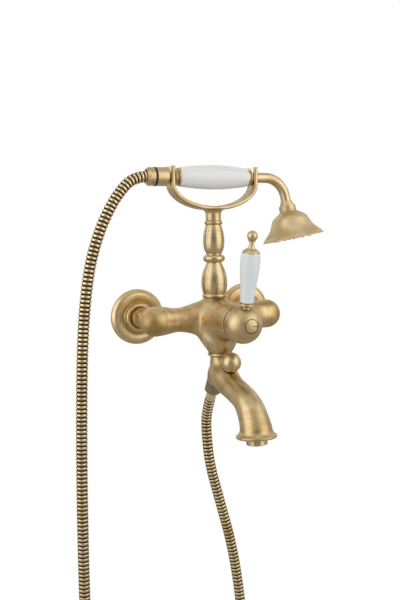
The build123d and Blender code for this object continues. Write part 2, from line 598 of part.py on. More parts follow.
def fork():
    """U-shaped cradle whose arms are slotted for the necks of the handset."""
    spring_z = FORK_BASE_Z + FORK_T + FORK_INSIDE_DROP
    outside = FORK_HALF_INSIDE + FORK_T
    drop = FORK_INSIDE_DROP + FORK_T
    tall = FORK_TOP_Z - spring_z
    bow = Ellipse(outside, drop) - Ellipse(FORK_HALF_INSIDE, FORK_INSIDE_DROP)
    bow -= Pos(0, drop) * Rectangle(3 * outside, 2 * drop)
    for side in (-1, 1):
        bow += Pos(side * (FORK_HALF_INSIDE + FORK_T / 2), tall / 2) * Rectangle(FORK_T, tall)
    front = Plane((0, -COLUMN_REACH, spring_z), x_dir=(1, 0, 0), z_dir=(0, -1, 0))
    strap = front * extrude(bow, FORK_WIDTH / 2, both=True)
    rims = [edge for edge in strap.edges() if abs(edge.center().Y + COLUMN_REACH) > FORK_WIDTH / 2 - 0.1]
    strap = fillet(rims, FORK_ROUND)
    slot_r = NECK_R + SLOT_GAP
    slot = Pos(0, -COLUMN_REACH, HANDSET_Z) * Rot(0, 90, 0) * Cylinder(slot_r, 3 * outside)
    slot += Pos(0, -COLUMN_REACH, (HANDSET_Z + FORK_TOP_Z) / 2 + 5.0) * Box(
        3 * outside, 2 * slot_r, FORK_TOP_Z - HANDSET_Z + 10.0)
    strap -= slot
    stem_low = TOP_BOSS_Z + COLUMN_HEIGHT
    flare = (FORK_STEM_R, FORK_BASE_Z - 5.0)
    head = (FORK_STEM_R + 5.5, FORK_BASE_Z + 2.0)
    stem = turned(Curve() + [
        Polyline((0, stem_low - 12.0), (COLUMN_STUD_R, stem_low - 12.0), (COLUMN_STUD_R, stem_low),
                 (FORK_STEM_R, stem_low), flare),
        Spline(flare, head, tangents=((0, 1), (1, 0.6))),
        Polyline(head, (0, FORK_BASE_Z + 2.0), (0, stem_low - 12.0)),
    ], Plane((0, -COLUMN_REACH, 0)))
    return strap + stem


parts["fork"] = fork()


# Spout with collar, diverter and aerator
SPOUT_TOP = BOTTOM_BOSS_Z - COLLAR_RING_T
SPOUT_RINGS = (
    (BOTTOM_BOSS_REACH, SPOUT_TOP, SPOUT_NECK_R, 0.0),
    (BOTTOM_BOSS_REACH + 0.5, SPOUT_TOP - 6.5, SPOUT_NECK_R + 0.6, 6.0),
    (BOTTOM_BOSS_REACH + 2.8, SPOUT_TOP - 14.5, 14.6, 22.0),
    (89.5, -66.5, 16.4, 46.0),
    (103.5, -74.0, 15.5, 68.0),
    (120.0, -78.8, 14.4, 75.0),
    (136.0, -83.2, 14.6, 68.0),
    (149.0, -90.0, 15.5, 50.0),
    (158.0, -99.5, 16.5, 32.0),
    (OUTLET_REACH - 2.2, OUTLET_Z + 6.0, 17.4, 14.0),
    (OUTLET_REACH, OUTLET_Z, OUTLET_R, OUTLET_TILT),
)
OUTLET = Plane((0, -OUTLET_REACH, OUTLET_Z), x_dir=(1, 0, 0),
               z_dir=(0, -math.sin(OUTLET_TILT * DEG), -math.cos(OUTLET_TILT * DEG)))


def spout():
    """Swan shaped casting with a flared lip, a diverter chamber and a hose outlet at the rear."""
    rings = []
    for reach, z, radius, lean in SPOUT_RINGS:
        down = (0, -math.sin(lean * DEG), -math.cos(lean * DEG))
        rings.append(Plane((0, -reach, z), x_dir=(1, 0, 0), z_dir=down) * Circle(radius))
    body = loft(rings)
    body += turned(Curve() + [
        Line((0, 0), (OUTLET_R, 0)),
        Spline((OUTLET_R, 0), (OUTLET_R + 1.0, 3.0), (LIP_R - 0.4, LIP_DROP - 3.2),
               tangents=((0, 1), (1, 0.5))),
        ThreePointArc((LIP_R - 0.4, LIP_DROP - 3.2), (LIP_R, LIP_DROP - 2.0), (LIP_R - 1.6, LIP_DROP)),
        Polyline((LIP_R - 1.6, LIP_DROP), (0, LIP_DROP), (0, 0)),
    ], OUTLET)
    body += Pos(0, -BOTTOM_BOSS_REACH, SPOUT_TOP) * Cylinder(
        SPOUT_SPIGOT_R, COLLAR_RING_T + SPOUT_SPIGOT, align=(Align.CENTER, Align.CENTER, Align.MIN))
    root = (OUTLET_BOSS_R - 2.4, 0)
    seat = (LOWER_NUT_R - 0.3, OUTLET_BOSS)
    body += turned(Curve() + [
        Line((0, 0), root),
        Spline(root, (OUTLET_BOSS_R, 9.0), (OUTLET_BOSS_R - 0.4, 15.0), seat),
        Polyline(seat, (0, OUTLET_BOSS), (0, 0)),
    ], HOSE_OUTLET)
    body += turned(rod(HOSE_THREAD_R, 0, OUTLET_BOSS + HOSE_THREAD), HOSE_OUTLET)
    low_water = AERATOR_LENGTH - AERATOR_SHOW
    water = FilletPolyline(
        (0, -BOTTOM_BOSS_REACH - 2.0, DIVERTER_Z), (0, -88.0, -66.0), (0, -106.0, -75.5), (0, -136.0, -83.0),
        (0, -158.0, -98.0), (OUTLET * Pos(0, 0, LIP_DROP - low_water)).position, radius=12.0)
    start = Plane(water @ 0, z_dir=water % 0)
    body -= sweep(start * Circle(SPOUT_WATER_R), path=water)
    body -= turned(rod(SPOUT_WATER_R, 0, OUTLET_BOSS + HOSE_THREAD), HOSE_OUTLET)
    body += turned(rod(BONNET_R, BOTTOM_BOSS_REACH, BONNET_SEAT), outward(0, DIVERTER_Z))
    body -= turned(rod(BONNET_R + 0.4, BONNET_SEAT, KNOB_REACH - KNOB_R), outward(0, DIVERTER_Z))
    body -= turned(rod(CHAMBER_R, BOTTOM_BOSS_REACH - 9.0, KNOB_REACH), outward(0, DIVERTER_Z))
    scoop = KNOB_R + KNOB_GAP
    body -= turned(Curve() + [
        ThreePointArc((0, KNOB_REACH - scoop), (scoop * math.sqrt(0.5), KNOB_REACH - scoop * math.sqrt(0.5)),
                      (scoop, KNOB_REACH)),
        Polyline((scoop, KNOB_REACH), (scoop, KNOB_REACH + 2 * PULL), (0, KNOB_REACH + 2 * PULL),
                 (0, KNOB_REACH - scoop)),
    ], outward(0, DIVERTER_Z))
    body -= Pos(0, -BOTTOM_BOSS_REACH, DIVERTER_Z) * Cylinder(
        SPOUT_WATER_R, 30.0, align=(Align.CENTER, Align.CENTER, Align.MIN))
    body -= turned(rod(AERATOR_R + FIT, LIP_DROP - low_water, LIP_DROP), OUTLET)
    body -= turned(rod(LIP_R - 4.0, LIP_DROP - 2.0, LIP_DROP), OUTLET)
    return body


parts["spout"] = spout()
boss = Plane((0, -BOTTOM_BOSS_REACH, SPOUT_TOP))
collar_bore = SPOUT_SPIGOT_R + FIT
parts["spout_collar"] = turned(Curve() + [
    Line((collar_bore, 0), (COLLAR_RING_R - 2.0, 0)),
    ThreePointArc((COLLAR_RING_R - 2.0, 0), (COLLAR_RING_R, COLLAR_RING_T - 1.8),
                  (COLLAR_RING_R - 1.2, COLLAR_RING_T)),
    Polyline((COLLAR_RING_R - 1.2, COLLAR_RING_T), (collar_bore, COLLAR_RING_T), (collar_bore, 0)),
], boss)
SEAL_Z = COLLAR_RING_T + SPOUT_SPIGOT
parts["spout_seal"] = turned(pipe(SPOUT_SPIGOT_R, 6.5, SEAL_Z, SEAL_Z + GASKET_T), boss)

diverter_axis = outward(0, DIVERTER_Z)
parts["diverter_bonnet"] = turned(Polyline(
    (ROD_R + FIT, BONNET_SEAT - 4.0), (CHAMBER_R - FIT, BONNET_SEAT - 4.0), (CHAMBER_R - FIT, BONNET_SEAT),
    (BONNET_R, BONNET_SEAT), (BONNET_R - 0.8, BONNET_SEAT + 1.2), (ROD_R + FIT, BONNET_SEAT + 1.2),
    (ROD_R + FIT, BONNET_SEAT - 4.0)), diverter_axis)
piston_r = CHAMBER_R - 0.3
piston_rear = BOTTOM_BOSS_REACH - 8.5
piston_front = piston_rear + 5.0
land = 1.0
tail_bore = ROD_TAIL_R + FIT
parts["diverter_piston"] = turned(Polyline(
    (tail_bore, piston_rear), (piston_r, piston_rear), (piston_r, piston_rear + land),
    (ROD_R, piston_rear + land), (ROD_R, piston_front - land), (piston_r, piston_front - land),
    (piston_r, piston_front), (tail_bore, piston_front), (tail_bore, piston_rear)), diverter_axis)
parts["diverter_seal"] = turned(
    pipe(piston_r, ROD_R + FIT, piston_rear + land + FIT, piston_front - land - FIT), diverter_axis)
rod_end = KNOB_REACH - 4.0
parts["diverter_rod"] = turned(Polyline(
    (0, piston_rear), (ROD_TAIL_R, piston_rear), (ROD_TAIL_R, piston_front), (ROD_R, piston_front),
    (ROD_R, rod_end), (0, rod_end), (0, piston_rear)), diverter_axis)
parts["diverter_knob"] = Pos(0, -KNOB_REACH, DIVERTER_Z) * Sphere(KNOB_R) - turned(
    rod(ROD_R + FIT, KNOB_REACH - KNOB_R - 1.0, rod_end), diverter_axis)

aerator = OUTLET.offset(LIP_DROP - AERATOR_LENGTH + AERATOR_SHOW)
parts["aerator_gasket"] = turned(pipe(AERATOR_R - 0.3, SPOUT_WATER_R, 0, GASKET_T), aerator)


def aerator_housing():
    """Ring nut with two rows of air slots and a lip that holds the insert."""
    inside = AERATOR_R - 1.6
    ledge = AERATOR_LENGTH - 1.5
    ring = turned(Polyline(
        (inside, GASKET_T), (AERATOR_R, GASKET_T), (AERATOR_R, AERATOR_LENGTH - 0.8),
        (AERATOR_R - 0.8, AERATOR_LENGTH), (inside - 1.2, AERATOR_LENGTH), (inside - 1.2, ledge),
        (inside, ledge), (inside, GASKET_T)), aerator)
    slot = Pos(AERATOR_R, 0, 0) * Box(4.0, AIR_SLOT, AIR_SLOT)
    for low in (3.0, 5.4):
        row = Pos(0, 0, AERATOR_LENGTH - low) * PolarLocations(0, AIR_SLOTS)
        ring -= [aerator * row_place * slot for row_place in row]
    return ring


parts["aerator_housing"] = aerator_housing()
insert = rod(AERATOR_R - 1.8, GASKET_T + FIT, AERATOR_LENGTH - 1.5 - FIT)
parts["aerator_insert"] = turned(insert, aerator)


# Hose ends
THREAD_END = OUTLET_BOSS + HOSE_THREAD
LOWER_NUT_START = OUTLET_BOSS + 0.2
LOWER_NUT_END = LOWER_NUT_START + LOWER_NUT_LENGTH
LOWER_LIP = LOWER_NUT_END - HOSE_LIP
FERRULE_START = THREAD_END + WASHER_T
thread_bore = HOSE_THREAD_R + FIT
shoulder_r = HOSE_THREAD_R - 0.3
ferrule_bore = LOWER_FERRULE_R + FIT
washer = pipe(shoulder_r, SPOUT_WATER_R, THREAD_END, FERRULE_START)
parts["hose_washer_lower"] = turned(washer, HOSE_OUTLET)
parts["hose_ferrule_lower"] = turned(Polyline(
    (HOSE_BORE_R, FERRULE_START), (shoulder_r, FERRULE_START), (shoulder_r, LOWER_LIP - FIT),
    (LOWER_FERRULE_R, LOWER_LIP - FIT), (LOWER_FERRULE_R, LOWER_FERRULE_END),
    (HOSE_BORE_R, LOWER_FERRULE_END), (HOSE_BORE_R, FERRULE_START)), HOSE_OUTLET)
parts["hose_nut_lower"] = turned(Polyline(
    (thread_bore, LOWER_NUT_START), (LOWER_NUT_R, LOWER_NUT_START), (LOWER_NUT_R, LOWER_NUT_END - 1.0),
    (LOWER_NUT_R - 1.0, LOWER_NUT_END), (ferrule_bore, LOWER_NUT_END), (ferrule_bore, LOWER_LIP),
    (thread_bore, LOWER_LIP), (thread_bore, LOWER_NUT_START)), HOSE_OUTLET)


# Handset, along x from the hose nut to the head
HANDLE_END = HANDLE_LENGTH / 2
FERRULE_END = HANDLE_END + FERRULE_LENGTH
CONNECTOR_BACK = CONNECTOR_END + CONNECTOR_LENGTH
NUT_FRONT_X = CONNECTOR_BACK + SWIVEL_T
NUT_BACK_X = NUT_FRONT_X + UPPER_NUT_LENGTH
CONNECTOR_TIP = NUT_FRONT_X + UPPER_THREAD
HOSE_FLANGE_X = CONNECTOR_TIP + WASHER_T
HOSE_END_X = HOSE_FLANGE_X + UPPER_FLANGE_T
UPPER_LIP_X = HOSE_END_X + FIT


def handle():
    """Barrel shaped porcelain grip."""
    bore = CORE_R + 0.4
    return turned(Curve() + [
        Spline((HANDLE_END_R, -HANDLE_END), (HANDLE_R - 0.9, -HANDLE_END / 2), (HANDLE_R, 0),
               (HANDLE_R - 0.9, HANDLE_END / 2), (HANDLE_END_R, HANDLE_END)),
        Polyline((HANDLE_END_R, HANDLE_END), (bore, HANDLE_END), (bore, -HANDLE_END),
                 (HANDLE_END_R, -HANDLE_END)),
    ], ALONG_X)


def handle_ferrule(side):
    """Cup with a bead that closes one end of the grip."""
    bore = CORE_R + FIT
    rim = HANDLE_END + 2.6
    outline = Curve() + [
        Polyline((bore, side * HANDLE_END), (FERRULE_R, side * HANDLE_END), (FERRULE_R, side * (rim - 0.8)),
                 (FERRULE_R - 1.8, side * rim)),
        ThreePointArc((FERRULE_R - 1.8, side * rim), (FERRULE_R - 2.6, side * (rim + 0.7)),
                      (FERRULE_R - 1.9, side * (rim + 1.4))),
        ThreePointArc((FERRULE_R - 1.9, side * (rim + 1.4)), (FERRULE_R - 1.1, side * (rim + 2.6)),
                      (FERRULE_R - 2.0, side * (FERRULE_END - 0.4))),
        Polyline((FERRULE_R - 2.0, side * (FERRULE_END - 0.4)), (FERRULE_R - 2.4, side * FERRULE_END),
                 (bore, side * FERRULE_END), (bore, side * HANDLE_END)),
    ]
    return turned(outline, ALONG_X)


parts["handset_handle"] = handle()
parts["handle_ferrule_rear"] = handle_ferrule(-1)
parts["handle_ferrule_front"] = handle_ferrule(1)
CORE_BACK = CONNECTOR_END + 6.0
CORE_FRONT = FERRULE_END + 12.0
parts["handset_core"] = turned(pipe(CORE_R, CORE_BORE_R, -CORE_BACK, CORE_FRONT), ALONG_X)
parts["handset_connector"] = turned(Polyline(
    (CORE_BORE_R, -CONNECTOR_TIP), (HOSE_THREAD_R, -CONNECTOR_TIP), (HOSE_THREAD_R, -CONNECTOR_BACK),
    (CONNECTOR_R, -CONNECTOR_BACK), (CONNECTOR_R, -CONNECTOR_END - 0.8), (CONNECTOR_R - 0.8, -CONNECTOR_END),
    (NECK_R, -CONNECTOR_END), (NECK_R, -FERRULE_END), (CORE_R + FIT, -FERRULE_END),
    (CORE_R + FIT, -CORE_BACK), (CORE_BORE_R, -CORE_BACK), (CORE_BORE_R, -CONNECTOR_TIP)), ALONG_X)
swivel = pipe(CONNECTOR_R + 0.1, thread_bore, -NUT_FRONT_X, -CONNECTOR_BACK)
parts["swivel_ring"] = turned(swivel, ALONG_X)


def hose_nut_upper():
    """Round nut with a tapered back and one hole for a pin spanner."""
    thread = HOSE_THREAD_R + FIT
    throat = HOSE_R + MOVE_GAP
    nut = turned(Polyline(
        (thread, -NUT_FRONT_X), (UPPER_NUT_R, -NUT_FRONT_X), (UPPER_NUT_R, -NUT_BACK_X + 2.8),
        (UPPER_NUT_R - 2.2, -NUT_BACK_X), (throat, -NUT_BACK_X), (throat, -UPPER_LIP_X),
        (thread, -UPPER_LIP_X), (thread, -NUT_FRONT_X)), ALONG_X)
    hole = Rot(135, 0, 0) * Pos(0, 0, UPPER_NUT_R) * Cylinder(NUT_HOLE_R, 2.8)
    return nut - Pos(-NUT_FRONT_X - 3.0, -COLUMN_REACH, HANDSET_Z) * hole


parts["hose_nut_upper"] = hose_nut_upper()
washer = pipe(shoulder_r, CORE_BORE_R, -HOSE_FLANGE_X, -CONNECTOR_TIP)
parts["hose_washer_upper"] = turned(washer, ALONG_X)
barb_r = HOSE_BORE_R - FIT
barb_end = HOSE_END_X + 10.0
parts["hose_ferrule_upper"] = turned(Polyline(
    (CORE_BORE_R, -barb_end), (barb_r, -barb_end), (barb_r, -HOSE_END_X), (shoulder_r, -HOSE_END_X),
    (shoulder_r, -HOSE_FLANGE_X), (CORE_BORE_R, -HOSE_FLANGE_X), (CORE_BORE_R, -barb_end)), ALONG_X)


def swan_neck():
    """Bent tube from the grip to the head; returns the tube and the place at its lower end."""
    origin = Vector(0, -COLUMN_REACH, HANDSET_Z)
    bend = NECK_BEND * DEG
    start = origin + Vector(FERRULE_END, 0, 0)
    first = origin + Vector(NECK_STRAIGHT, 0, 0)
    down = Vector(0, -math.sin(HEAD_TURN * DEG), -math.cos(HEAD_TURN * DEG))
    turn = first + Vector(NECK_BEND_R * math.sin(bend), 0, 0) + down * NECK_BEND_R * (1 - math.cos(bend))
    along = Vector(math.cos(bend), 0, 0) + down * math.sin(bend)
    foot = turn + along * NECK_DROP
    path = Wire([
        Line(start, first).edge(),
        TangentArc(first, turn, tangent=(1, 0, 0)).edge(),
        Line(turn, foot).edge(),
    ])
    section = Plane(start, x_dir=(0, 1, 0), z_dir=(1, 0, 0)) * (Circle(NECK_R) - Circle(NECK_BORE_R))
    tube = sweep(section, path=path)
    return tube, Plane(foot, x_dir=(0, 1, 0), z_dir=along)


neck_tube, HEAD = swan_neck()
parts["handset_neck"] = neck_tube
COLLAR_START = -1.0
COLLAR_TOP = COLLAR_START - COLLAR_CONE
BELL_TOP = COLLAR_START + COLLAR_H
neck_fit = NECK_R + FIT
parts["head_collar"] = turned(Polyline(
    (neck_fit, COLLAR_TOP), (NECK_R + 0.6, COLLAR_TOP), (COLLAR_R - 1.4, COLLAR_START),
    (COLLAR_R, COLLAR_START), (COLLAR_R, BELL_TOP), (NECK_BORE_R, BELL_TOP), (NECK_BORE_R, 0),
    (neck_fit, 0), (neck_fit, COLLAR_TOP)), HEAD)
BELL_RIM = BELL_TOP + BELL_HEIGHT


def bell_line(inset):
    """Ogee line of the bell from the collar to the rim, moved inwards by an inset."""
    top, rise = BELL_TOP, BELL_HEIGHT
    return Spline(
        (COLLAR_R, top + inset),
        (16.8 - 0.4 * inset, top + 0.13 * rise + 0.9 * inset),
        (20.4 - 0.7 * inset, top + 0.21 * rise + 0.7 * inset),
        (23.3 - 0.9 * inset, top + 0.365 * rise + 0.4 * inset),
        (26.6 - 0.9 * inset, top + 0.57 * rise + 0.5 * inset),
        (31.3 - 0.8 * inset, top + 0.75 * rise + 0.6 * inset),
        (36.5 - 0.9 * inset, top + 0.91 * rise + 0.3 * inset),
        (BELL_R - inset, BELL_RIM))


def bell_inside(inset):
    """Solid that fills the bell up to an inset from its outer face."""
    return turned(Curve() + [
        bell_line(inset),
        Polyline((BELL_R - inset, BELL_RIM), (0, BELL_RIM), (0, BELL_TOP + inset),
                 (COLLAR_R, BELL_TOP + inset)),
    ], HEAD)


def spray_plate():
    """Spray face with rings of raised nozzles."""
    slab = turned(rod(BELL_R, PLATE_FACE - PLATE_T, PLATE_FACE), HEAD)
    plate = slab & bell_inside(BELL_WALL + FIT)
    foot = PLATE_FACE - 0.5
    nozzle = turned(rod(NOZZLE_R, foot, PLATE_FACE + NOZZLE_H))
    nozzles = []
    for ring_r, count in NOZZLE_RINGS:
        for step in range(count):
            angle = 360.0 / count * step * DEG
            nozzles.append(HEAD * Pos(ring_r * math.cos(angle), ring_r * math.sin(angle), 0) * nozzle)
    return plate + nozzles


PLATE_FACE = BELL_RIM - 1.0
inlet = turned(rod(NECK_BORE_R, BELL_TOP, BELL_RIM), HEAD)
parts["head_bell"] = bell_inside(0) - bell_inside(BELL_WALL) - inlet
parts["spray_plate"] = spray_plate()
plate_back = PLATE_FACE - PLATE_T
gasket_slab = turned(pipe(BELL_R, PLATE_HOLE_R, plate_back - GASKET_T, plate_back), HEAD)
parts["spray_gasket"] = gasket_slab & bell_inside(BELL_WALL + FIT)


# Ribbed hose
def hose():
    """Ribbed tube along straight runs and arcs, as large as the runs allow."""
    start = HOSE_OUTLET * Pos(0, 0, LOWER_FERRULE_END)
    lead = HOSE_OUTLET * Pos(0, 0, LOWER_FERRULE_END + HOSE_LEAD)
    end = ALONG_X * Pos(0, 0, -HOSE_END_X)
    tail = ALONG_X * Pos(0, 0, -HOSE_END_X - HOSE_UPPER_LEAD)
    between = [Vector(point) for point in HOSE_ROUTE]
    route = [start.position, lead.position, *between, tail.position, end.position]
    radii = []
    for before, corner, after in zip(route, route[1:], route[2:]):
        shorter = min((corner - before).length, (after - corner).length)
        half_turn = (corner - before).get_angle(after - corner) / 2
        radii.append(0.45 * shorter / math.tan(half_turn * DEG))
    path = FilletPolyline(*route, radius=radii)
    pitch = 1.0 / HOSE_RIBS
    stations = [(0.0, HOSE_GROOVE_R)]
    for rib in range(HOSE_RIBS):
        for share, radius in HOSE_RIB:
            stations.append((pitch * (rib + share), radius))
    rings = []
    for place, radius in stations:
        along = path % place
        side = Vector(0, 1, 0) - along * along.Y
        rings.append(Wire.make_circle(radius, Plane(path @ place, x_dir=side, z_dir=along)))
    tube = Solid.make_loft(rings, ruled=True)
    bore = sweep(Plane(path @ 0, z_dir=path % 0) * Circle(HOSE_BORE_R), path=path)
    print("hose length", round(path.length, 1))
    return Part(tube.wrapped) - bore


parts["hose"] = hose()

os.makedirs("parts", exist_ok=True)
for name, shape in parts.items():
    export_step(shape, "parts/" + name + ".step")
print(len(parts), "pieces")
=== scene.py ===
"""Looks of a wall mounted bath mixer with a hand shower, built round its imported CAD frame."""

import math

import bpy
import numpy as np
from bpy.props import FloatProperty, FloatVectorProperty, IntProperty, PointerProperty
from mathutils import Matrix, Vector


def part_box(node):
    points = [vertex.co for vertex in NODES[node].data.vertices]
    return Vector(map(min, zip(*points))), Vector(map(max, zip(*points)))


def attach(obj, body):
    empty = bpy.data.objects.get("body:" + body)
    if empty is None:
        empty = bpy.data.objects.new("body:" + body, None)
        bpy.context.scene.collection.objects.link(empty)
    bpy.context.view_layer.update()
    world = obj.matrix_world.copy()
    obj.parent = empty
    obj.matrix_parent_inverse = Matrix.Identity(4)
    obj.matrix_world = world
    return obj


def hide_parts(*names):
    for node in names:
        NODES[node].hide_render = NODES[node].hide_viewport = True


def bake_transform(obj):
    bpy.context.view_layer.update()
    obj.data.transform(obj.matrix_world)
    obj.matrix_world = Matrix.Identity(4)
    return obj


bl_info = {
    "name": "Bath mixer with hand shower",
    "version": (1, 0, 0),
    "blender": (4, 5, 0),
    "location": "View3D > Sidebar > Bath mixer",
    "description": "Finishes, hose and studio of a wall mounted bath mixer",
    "category": "Object",
}

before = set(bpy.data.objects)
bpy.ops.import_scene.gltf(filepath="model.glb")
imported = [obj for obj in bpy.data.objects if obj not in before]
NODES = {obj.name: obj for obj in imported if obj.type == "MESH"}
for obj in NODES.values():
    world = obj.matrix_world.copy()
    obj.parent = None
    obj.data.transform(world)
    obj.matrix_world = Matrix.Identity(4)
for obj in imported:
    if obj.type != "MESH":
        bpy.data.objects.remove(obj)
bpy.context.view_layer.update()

# Route of the hose, from the outlet under the spout to the nut of the handset, in metres
HOSE_ROUTE = (
    (0.0, -0.05055, -0.1020), (0.0, -0.03765, -0.1243), (0.0010, -0.0362, -0.1535),
    (0.0050, -0.0355, -0.1910), (0.0180, -0.0360, -0.2400), (0.0360, -0.0380, -0.3100),
    (0.0460, -0.0420, -0.4000), (0.0455, -0.0470, -0.4880), (0.0330, -0.0510, -0.5700),
    (-0.0060, -0.0540, -0.6274), (-0.0710, -0.0570, -0.6480), (-0.1300, -0.0600, -0.6190),
    (-0.1605, -0.0630, -0.5550), (-0.1705, -0.0650, -0.4460), (-0.1725, -0.0660, -0.3250),
    (-0.1715, -0.0665, -0.2000), (-0.1685, -0.0665, -0.0900), (-0.1640, -0.0665, 0.0),
    (-0.1555, -0.0668, 0.0620), (-0.1460, -0.0670, 0.0950), (-0.1340, -0.0670, 0.1235),
    (-0.1178, -0.0670, 0.1495), (-0.0988, -0.0670, 0.1678), (-0.0803, -0.0670, 0.1678),
)

# Section of one rib: share of the pitch, share of the depth from groove to crest, and whether it is groove
RIB_SECTION = (
    (0.02, 0.0, True), (0.39, 0.0, True), (0.41, 0.50, False), (0.47, 0.84, False), (0.56, 0.97, False),
    (0.70, 1.0, False), (0.84, 0.97, False), (0.93, 0.84, False), (0.98, 0.50, True),
)

# How far the ribs are pushed together: distance along the hose in metres, and share of the pitch
RIB_CROWDING = (
    (0.0, 0.86), (0.10, 0.89), (0.25, 0.91), (0.60, 0.89), (1.11, 0.89), (1.22, 0.908), (1.32, 0.92),
    (1.42, 0.945), (1.46, 0.88), (1.50, 0.80),
)

# Water way through the spout, from the diverter to the outlet, in metres
WATER_WAY = (
    (0.0, -0.082, -0.040), (0.0, -0.082, -0.054), (0.0, -0.088, -0.066), (0.0, -0.106, -0.0755),
    (0.0, -0.136, -0.083),
)


def leaning(degrees, upward):
    """A direction that leans to the front from straight up (1) or straight down (-1)."""
    angle = math.radians(degrees)
    return 0.0, -math.sin(angle), upward * math.cos(angle)


# Axes of the pieces: a point on the axis in metres, and its direction
COLUMN_AXIS = ((0.0, -0.067, 0.0), (0.0, 0.0, 1.0))
HANDSET_AXIS = ((0.0, -0.067, 0.1678), (1.0, 0.0, 0.0))
ARM_AXIS = ((0.0, -0.060, 0.0), (1.0, 0.0, 0.0))
BARREL_AXIS = ((0.0, -0.138, 0.0), (0.0, -1.0, 0.0))
LEVER_AXIS = ((0.0, -0.1425, 0.0), leaning(11.0, 1.0))
SPOUT_AXIS = ((0.0, -0.080, -0.050), leaning(40.0, -1.0))
OUTLET_AXIS = ((0.0, -0.1655, -0.1135), leaning(6.0, -1.0))
HOSE_AXIS = ((0.0, -0.0763, -0.0574), leaning(-30.0, -1.0))
HEAD_AXIS = ((0.0, 0.0, 0.0), (0.1632, -0.1006, -0.9815))
CROSS_AXIS = ((0.0, 0.0, 0.0), (1.0, 0.0, 0.0))
UPRIGHT_AXIS = ((0.0, 0.0, 0.0), (0.0, 0.0, 1.0))
INLETS = {"left": -0.075, "right": 0.075}

WHITE = (1.0, 1.0, 1.0, 1.0)

# Sockets that are taken by their number
OBJECT_PLACE = 3
VECTOR, VALUE = 0, 1
CAMERA_RAY, GLOSSY_RAY, TRANSMISSION_RAY = 0, 3, 6
UPWARD = 2


def paint(name, description, default):
    """A colour that can be changed."""
    return FloatVectorProperty(
        name=name, description=description, subtype="COLOR", size=3, min=0.0, max=1.0, default=default)


class MetalFinish(bpy.types.PropertyGroup):
    """Brushed antique brass."""

    light: paint("Rubbed brass", "Colour where the patina is rubbed away", (0.725, 0.605, 0.375))
    dark: paint("Patina", "Colour where the brown patina is left", (0.48, 0.315, 0.125))
    # Colour of the painted shade in seams and recesses, which is also the colour of the dirt in joints
    seam: paint("Seams", "Colour in the seams between pieces", (0.075, 0.043, 0.016))
    roughness: FloatProperty(
        name="Roughness", description="Mean roughness of the brushed metal", subtype="FACTOR",
        min=0.0, max=1.0, default=0.36)
    line_scale: FloatProperty(
        name="Brush lines", description="Brush lines to a metre", min=100.0, max=5000.0, default=640.0)


class PorcelainFinish(bpy.types.PropertyGroup):
    """Glazed porcelain of the two grips."""

    handle: paint("Handle glaze", "Colour of the handset's grip", (0.72, 0.715, 0.69))
    lever: paint("Lever glaze", "Colour of the lever's sleeve", (0.66, 0.705, 0.715))
    roughness: FloatProperty(
        name="Roughness", description="Roughness of the glaze", subtype="FACTOR",
        min=0.0, max=1.0, default=0.22)


class HoseSizes(bpy.types.PropertyGroup):
    """Ribbed metal hose."""

    length: FloatProperty(
        name="Length", description="Length of the hose between its nuts", unit="LENGTH", default=1.5)
    radius: FloatProperty(
        name="Radius", description="Radius over the ribs", unit="LENGTH", default=0.0067)
    groove: FloatProperty(
        name="Groove radius", description="Radius at the bottom of the grooves", unit="LENGTH", default=0.0058)
    pitch: FloatProperty(
        name="Pitch", description="Distance from rib to rib where they are not pushed together", unit="LENGTH",
        default=0.0052)
    sides: IntProperty(
        name="Sides", description="Points round the hose", min=8, max=64, default=24)


class StudioSettings(bpy.types.PropertyGroup):
    """Camera, floor and light."""

    azimuth: FloatProperty(
        name="Azimuth", description="Direction of the camera round the mixer", subtype="ANGLE",
        default=math.radians(-25.12))
    elevation: FloatProperty(
        name="Elevation", description="Height of the camera over the horizon", subtype="ANGLE",
        default=math.radians(5.669))
    roll: FloatProperty(
        name="Roll", description="Turn of the picture", subtype="ANGLE", default=math.radians(1.0037))
    lens: FloatProperty(
        name="Lens", description="Focal length for a 36 mm long side", unit="CAMERA", default=45.0)
    place: FloatVectorProperty(
        name="Place", description="Place of the camera", subtype="TRANSLATION", size=3,
        default=(-0.39709, -0.87257, 0.11122))
    floor: FloatProperty(
        name="Floor", description="Height of the floor", unit="LENGTH", default=-0.68)
    ambient: FloatProperty(
        name="Ambient", description="Strength of the light from all round", min=0.0, max=2.0, default=0.68)
    room: paint("Room", "Colour of the room that the metal reflects", (0.77, 0.73, 0.67))
    shade: paint("Shade", "Colour of the dark strip of the room at the mixer's sides", (0.14, 0.12, 0.10))
    front: paint("Front", "Colour of the room behind the camera, as the metal reflects it", (0.22, 0.20, 0.175))
    overhead: paint("Overhead", "Colour of the dim ceiling, as the metal reflects it", (0.43, 0.405, 0.37))
    backdrop: paint("Backdrop", "Colour of the pale wall behind, as the metal reflects it", (0.76, 0.75, 0.74))
    ground: paint("Ground", "Colour of the floor, as the metal reflects it", (0.45, 0.42, 0.375))


class Wire:
    """A shader socket that takes part in Python expressions; each expression adds its node."""

    def __init__(self, sheet, socket):
        self.sheet = sheet
        self.socket = socket

    def maths(self, operation, other, swapped=False):
        """A Math node of this socket and another value."""
        pair = (other, self) if swapped else (self, other)
        return self.sheet.node("Math", {"operation": operation}, {0: pair[0], 1: pair[1]})[0]

    def __add__(self, other):
        return self.maths("ADD", other)

    def __radd__(self, other):
        return self.maths("ADD", other, True)

    def __sub__(self, other):
        return self.maths("SUBTRACT", other)

    def __rsub__(self, other):
        return self.maths("SUBTRACT", other, True)

    def __mul__(self, other):
        return self.maths("MULTIPLY", other)

    def __rmul__(self, other):
        return self.maths("MULTIPLY", other, True)

    def __abs__(self):
        return self.sheet.node("Math", {"operation": "ABSOLUTE"}, {0: self})[0]


